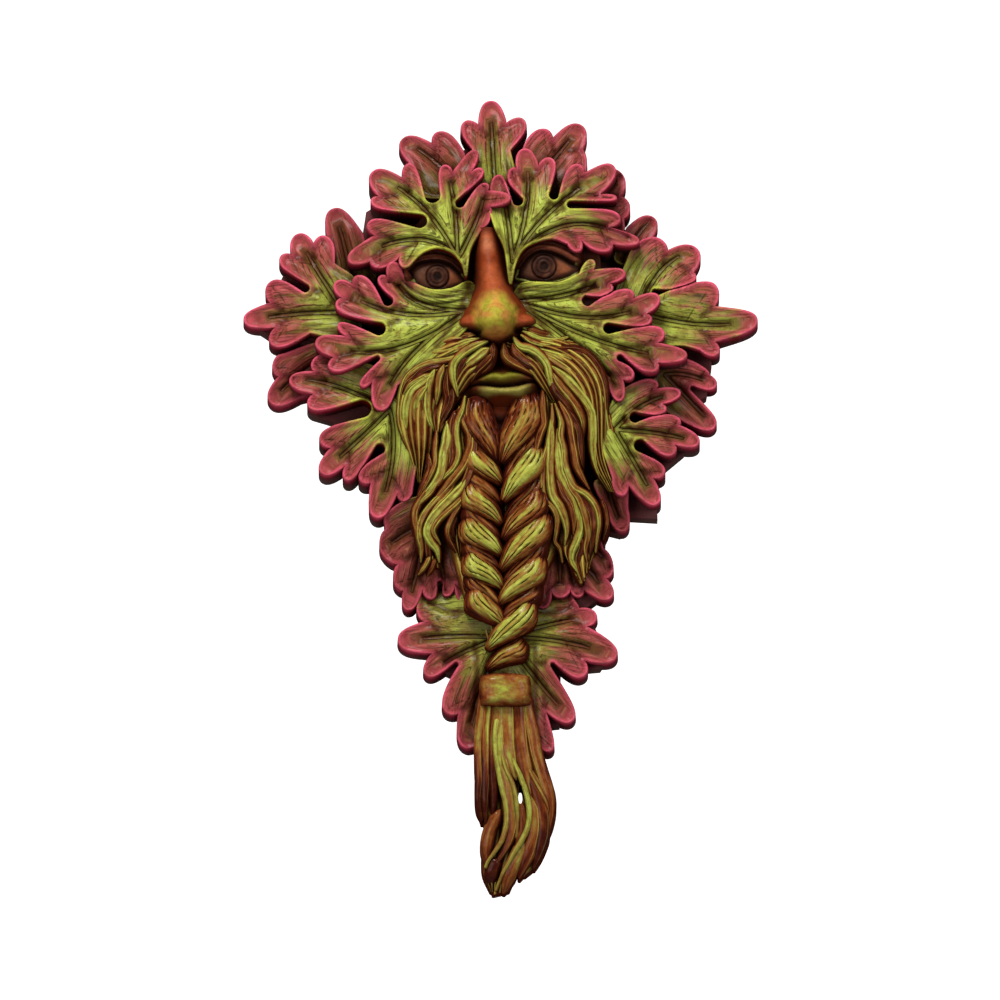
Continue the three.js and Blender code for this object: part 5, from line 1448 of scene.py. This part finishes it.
# The strands that show between them
plait_strands = [
    ((-13, 27), (0, 11), 9, 0.15),
    ((15, 29), (1.5, 5), 9, 0.2),
    ((-12.5, 11), (0.5, -4), 8, 0.3),
    ((16, 10), (2, -12), 9, 0.25),
    ((-14, -3), (0.5, -18), 8, 0.2),
    ((17, -2), (1, -25), 9, 0.3),
    ((-13.5, -16.5), (1, -31), 8, 0.25),
    ((17.5, -16), (0.5, -37), 9, 0.2),
    ((-12.5, -30), (1, -45), 8, 0.3),
    ((15, -34), (0, -50), 9, 0.25),
    ((9.5, -57), (-5, -68.5), 10, 0.65),
]
lobe_step = 0.5
lobe_columns = 37
lobe_bow = 2.2
lobe_swell = 5.5
plait_top_rise = 42.0
plait_foot_rise = 30.0
strand_drop = 2.2
hair_width = 2.2
nick_depth = 1.3

# A lobe's girth down its length
lobe_shares = [0, 0.08, 0.35, 0.7, 0.92, 1]
lobe_girths = [0.55, 0.8, 1, 0.78, 0.38, 0.12]


def plait_lobe(top, foot, width, tone, seed, drop=0.0):
    """A lobe that bows outwards and narrows on its way down to the middle, ridged with hairs."""
    top, foot = complex(*top), complex(*foot)
    run = foot - top
    outward = -1 if top.real < 0 else 1
    t = np.linspace(0, 1, round(abs(run) / lobe_step) + 1)
    middle = top + run * t + lobe_bow * outward * np.sin(np.pi * t)
    middle += 0.8 * 1j * unit(run) * outward * np.sin(2 * np.pi * t)
    half = width / 2 * np.interp(t, lobe_shares, lobe_girths)
    half = np.convolve(np.pad(half, 4, "edge"), np.ones(9) / 9, "valid")
    side = 1j * unit(run)
    c = np.linspace(-1, 1, lobe_columns)
    corners = middle[:, None] + side * half[:, None] * c
    fall = np.clip((40 - top.imag) / 100, 0, 1)
    crest = plait_top_rise + (plait_foot_rise - plait_top_rise) * fall - drop
    ends = np.sqrt(np.clip(1 - (1.9 * (t - 0.5)) ** 2, 0, 1))[:, None]
    swell = np.sqrt(np.clip(1 - (0.95 * c) ** 2, 0, 1)) * ends
    hairs = width / hair_width
    phase = hairs * (c + 1) / 2 + 0.3 * np.sin(5 * t[:, None] + seed)
    ridge = abs(np.sin(np.pi * phase))
    where = c[None, :] * hairs * 0.9 + 1j * t[:, None] * abs(run) / 6
    deep = ease(rough_hand(where.ravel(), 1.0, seed).reshape(corners.shape), -0.25, 0.2)
    cut = (1 - ridge) ** 3 * (0.1 + 0.9 * deep)
    rise = crest - lobe_swell + lobe_swell * swell - nick_depth * cut
    edge_near = np.maximum(abs(c), abs(2 * t[:, None] - 1) ** 3 * np.ones_like(c))
    tones = 0.8 * tone + 0.14 * np.sin(np.floor(phase) * 2.6 + seed) - 0.6 * edge_near**2.5
    tones = tones - 0.3 * ease(t[:, None], 0.3, 0.0)
    crown = np.clip(0.13 + 0.25 * edge_near**2 + 1.1 * cut + 0.12 * (1 - ridge), 0, 1)
    paint = {"strand": (crown.ravel(), (t[:, None] * abs(run) + 12 * c).ravel()),
             "finish": (tones.ravel(), seed), "wall": (0, 0)}
    return strip("lobe", corners, rise, paint, hair_foot)


plait = [plait_lobe(*lobe, seed=k * 1.7) for k, lobe in enumerate(plait_lobes)]
plait += [plait_lobe(*strand, seed=k * 1.3 + 30, drop=strand_drop)
          for k, strand in enumerate(plait_strands)]
plait = joined("plait", plait)
finished(plait, hair_paint)

# The tie and the tassel
# A plain band that binds the foot of the plait, and below it a loose tail of hair that hangs
# clear of the last leaf and curls in at its end. Cast with the rest, with one small
# slit right through it where two strands part.
tie_left = [(-7.4, -71.8), (-7.9, -75), (-7.9, -79), (-7.4, -82.8)]
tie_right = [(11.6, -72), (12, -75), (12.2, -79), (11.8, -82.8)]
tassel_rows = [-160, -150, -138, -120, -100, -83]
tassel_rises = [12, 16, 19, 22.5, 24, 23]
middle_seam = [(6, -83), (8.5, -96), (8.5, -106), (8, -115), (11, -123.5), (9.5, -134), (8, -142),
               (6, -149)]
seam_lap = [(7, -83), (9.5, -96), (9.5, -106), (9, -115), (12, -123.5), (10.5, -134), (8.5, -143),
            (3.5, -155)]
tassel_fall = [(18, 22), (17, 21), (13, 17), (9, 12)]
tassel_masses = [
    ([(-8, -83), (-9.5, -96), (-9.8, -110), (-9.5, -123), (-6, -130), (-7, -139), (-7, -148),
      (-4, -155)],
     [(-2, -83), (-3, -96), (-2.5, -108), (1, -120), (1, -127), (0.5, -138), (-1, -148),
      (-2.5, -156)], tassel_fall, 2, -0.1),
    ([(-3, -83), (-4, -96), (-4, -108), (-1, -118), (0, -127), (-1, -138), (-3, -148),
      (-3, -156.5)], seam_lap, tassel_fall, 3, 0.2),
    (middle_seam,
     [(12.5, -83), (15, -94), (18.5, -107), (21.5, -118), (20, -130.5), (16.5, -141), (13.5, -146),
      (10, -149)], tassel_fall, 3, 0.25),
]

# Smooth bands of the tassel: course, width, tone, tone at the end, lift over the masses, and
# which edge is raised
tassel_bands = [
    ([(-6.6, -78), (-7.6, -86), (-8.6, -95), (-8.7, -104), (-8.4, -112), (-8.7, -120),
      (-7.2, -128)], 2.8, 0.5, -0.3, 0.2, 1),
    ([(-5, -78), (-5.6, -86), (-6, -95), (-5.8, -104), (-5.8, -112), (-6, -120), (-5.6, -129)],
     3.4, 0.34, -0.4, 0.4, 1),
    ([(-2.6, -78), (-2.8, -86), (-3.2, -95), (-3, -104), (-2.6, -112), (-2.4, -119), (-3, -126)],
     3.2, 0.3, -0.4, 0.0, 0),
    ([(-0.2, -79), (-0.4, -86), (-0.6, -93), (-0.2, -99), (1.2, -106), (2.6, -112), (3.8, -118),
      (4.6, -124), (4.8, -130), (3.6, -136), (1.2, -141), (-1.5, -145)], 4.6, 0.62, 0.2, 0.7, 1),
    ([(2.4, -78), (2.8, -86), (3, -94), (3.4, -101), (5, -107), (6.4, -112)], 6, 0.5, 0.5, 0.9, 1),
    ([(7, -78), (7.4, -86), (8, -94), (8.6, -100), (10, -107), (11.4, -113), (12.4, -119)],
     6, 0.34, 0.3, 0.6, 1),
    ([(10.4, -78), (11.4, -86), (13, -94), (14.4, -101), (16.4, -108), (18.6, -115), (20.2, -122),
      (19.8, -129), (18.4, -135)], 4.8, 0.38, 0.2, 0.3, -1),
    ([(10.4, -106), (13, -112), (15.6, -119), (17, -126), (17, -133), (15.6, -140), (13.4, -147)],
     5.4, 0.3, -0.3, 0.3, 1),
    ([(11.6, -118), (13, -125), (13.2, -132), (11.8, -139), (9.8, -145), (7.6, -151)],
     5.4, 0.4, 0.1, 0.7, 1),
    ([(8, -120), (9, -126), (9.2, -132), (7.8, -137), (5.6, -142)], 3.4, 0.3, 0.1, 0.4, 0),
    ([(9.6, -136), (7, -142), (4.6, -147), (2.6, -152), (1.4, -157)], 5.6, 0.48, 0.3, 0.5, 0),
    ([(0, -124), (-2.6, -129), (-4.6, -134), (-5.4, -140), (-5.2, -146)], 4.8, 0.36, 0.2, -0.5, 0),
    ([(-1, -143), (-3.2, -148), (-3.6, -154)], 5, -0.1, -0.4, -0.4, 0),
    ([(-1, -87), (-1.8, -95), (-1.6, -102), (-0.4, -109), (1, -116), (2.3, -121), (2.8, -126),
      (2.4, -131), (0.8, -136), (-2, -140.5), (-4.6, -144), (-5.8, -147)], 1.7, 0.8, 0.6, 1.3, 0),
    ([(4.2, -101), (5.6, -105), (7.4, -109), (9, -113), (10.4, -117), (11.4, -122), (11.7, -127),
      (10.9, -131.5), (8.8, -136), (6.2, -140), (4, -144), (1.8, -148), (0, -152), (-1.6, -156)],
     1.5, 0.85, 0.6, 1.4, 0),
    ([(0.6, -99), (1.2, -104), (2.8, -109), (4.8, -113), (6.2, -118), (7, -124), (7, -130),
      (6.6, -135)], 1.1, 0.62, 0.6, 1.2, 0),
    ([(-4, -82), (-4.9, -91), (-5, -99), (-4.9, -107), (-4.8, -115)], 1.2, 0.66, 0.1, 1.0, 0),
    ([(11, -107), (13.6, -112), (16.4, -117), (18.6, -121.5), (19.8, -126)], 1.0, 0.6, 0.4, 1.1, 0),
]
slit_centre = complex(8.1, -118.4)
slit_width = 0.9
slit_height = 6.5
band_rows = 24
band_columns = 41
band_edge_rise = 24
band_swell = 5.2


def tie_band():
    """The band round the foot of the plait, square-shouldered and a little worn."""
    left, right = smooth_line(tie_left, 0.4), smooth_line(tie_right, 0.4)
    t = np.linspace(0, 1, band_rows)
    c = np.linspace(-1, 1, band_columns)
    a, b = (np.interp(t, np.linspace(0, 1, len(line)), line) for line in (left, right))
    corners = a[:, None] * (1 - c) / 2 + b[:, None] * (1 + c) / 2
    v = 2 * t[:, None] - 1
    corners = corners + 0.9j * (1 - c**2) * np.where(v < 0, 1, -0.6) * abs(v)
    rounded = np.clip(1 - abs(c) ** 5, 0, 1) ** 0.5 * np.clip(1 - 0.55 * abs(v) ** 6, 0, 1)
    rise = band_edge_rise + band_swell * rounded
    rise = rise + 0.25 * rough_hand(corners.ravel(), 3, 2.0).reshape(corners.shape)
    edge_near = np.maximum(abs(c) ** 3, abs(v) ** 6)
    paint = {"strand": ((0.3 + 0.35 * edge_near).ravel(), corners.real.ravel()),
             "finish": ((0.6 - 0.4 * edge_near).ravel(), (corners.imag / 16).ravel()), "wall": (0, 0)}
    return strip("tie", corners, rise, paint, hair_foot)


tail = [tie_band()]
tail += [lock(*mass, seed=k + 20.0) for k, mass in enumerate(tassel_masses)]
for k, (course, width, tone, tail_tone, lift, lip) in enumerate(tassel_bands):
    rises = [np.interp(row, tassel_rows, tassel_rises) + lift for _, row in course]
    tail.append(ribbon(course, width / hair_spread, tone, rises, seed=k * 0.53 + 7, lip=lip,
                       tail_tone=tail_tone))

# The slit's cutter is an oval that reaches from behind the back to well before the front
turn = -np.arange(24) / 24 * 2 * math.pi
slit_ring = slit_centre + slit_width / 2 * np.cos(turn) + 0.5j * slit_height * np.sin(turn)
slit_corners, slit_faces = triangles_within(slit_ring, np.zeros(0))
slit = body("slit", slit_corners, slit_faces, slit_faces, np.full(len(slit_corners), 60.0),
            {"strand": (1, 0), "finish": (0, 0), "wall": (0, 0)}, foot=-5)
tail = joined("tie_and_tassel", tail, [slit])
finished(tail, hair_paint)

# The backdrop, lights and camera
# A pale wall well behind the mask, a pale floor below it and three soft lamps, as in a
# catalogue photograph. The camera is a long lens a little below the mask, looking up at it.
pale, tree, paper = new_material("pale_paper")
white = colour("#FFFFFF")
wire(tree, paper, {"Base Color": white, "Roughness": 0.9, "Emission Color": white})
lit = pale.copy()
lit.name = "lit_paper"
lit.node_tree.nodes["Principled BSDF"].inputs["Emission Strength"].default_value = 1.0
floor_z = -3.2
wall_y = 7.5
for name, paint, corners in (
    ("floor", pale, [(-4, -4, floor_z), (4, -4, floor_z), (4, wall_y, floor_z), (-4, wall_y, floor_z)]),
    ("backdrop", lit, [(-1.2, wall_y, -0.2), (1.2, wall_y, -0.2), (1.2, wall_y, 2.4),
                       (-1.2, wall_y, 2.4)]),
):
    sheet = bpy.data.meshes.new(name)
    sheet.from_pydata(corners, [], [(0, 1, 2, 3)])
    sheet.materials.append(paint)
    sheet_object = bpy.data.objects.new(name, sheet)
    bpy.context.scene.collection.objects.link(sheet_object)

bpy.context.scene.view_settings.view_transform = "Standard"
world = bpy.data.worlds.new("studio")
world.use_nodes = True
wire(world.node_tree, world.node_tree.nodes["Background"], {"Color": white, "Strength": 0.16})
bpy.context.scene.world = world

# Lamps: place in metres, power in watts and width in metres
look_at = Vector((0, -0.02, -0.0007))
for name, place, power, size in (
    ("key_lamp", (-0.5, -1.6, 1.7), 61, 0.7),
    ("fill_lamp", (1.4, -1.9, 0.6), 23, 1.2),
    ("low_lamp", (-1.2, -1.9, -0.4), 16, 1.2),
):
    lamp = bpy.data.lights.new(name, "AREA")
    lamp.energy = power
    lamp.size = size
    lamp_object = bpy.data.objects.new(name, lamp)
    lamp_object.location = place
    lamp_object.rotation_euler = (look_at - Vector(place)).to_track_quat("-Z", "Y").to_euler()
    bpy.context.scene.collection.objects.link(lamp_object)

look_down = math.radians(-9)
distance = 6.0
frame_height = 0.4
camera = bpy.data.cameras.new("camera")
camera.lens = camera.sensor_width * distance / frame_height
camera_object = bpy.data.objects.new("camera", camera)
camera_object.location = look_at + distance * Vector((0, -math.cos(look_down), math.sin(look_down)))
camera_object.rotation_euler = (look_at - camera_object.location).to_track_quat("-Z", "Y").to_euler()
bpy.context.scene.collection.objects.link(camera_object)
bpy.context.scene.camera = camera_object
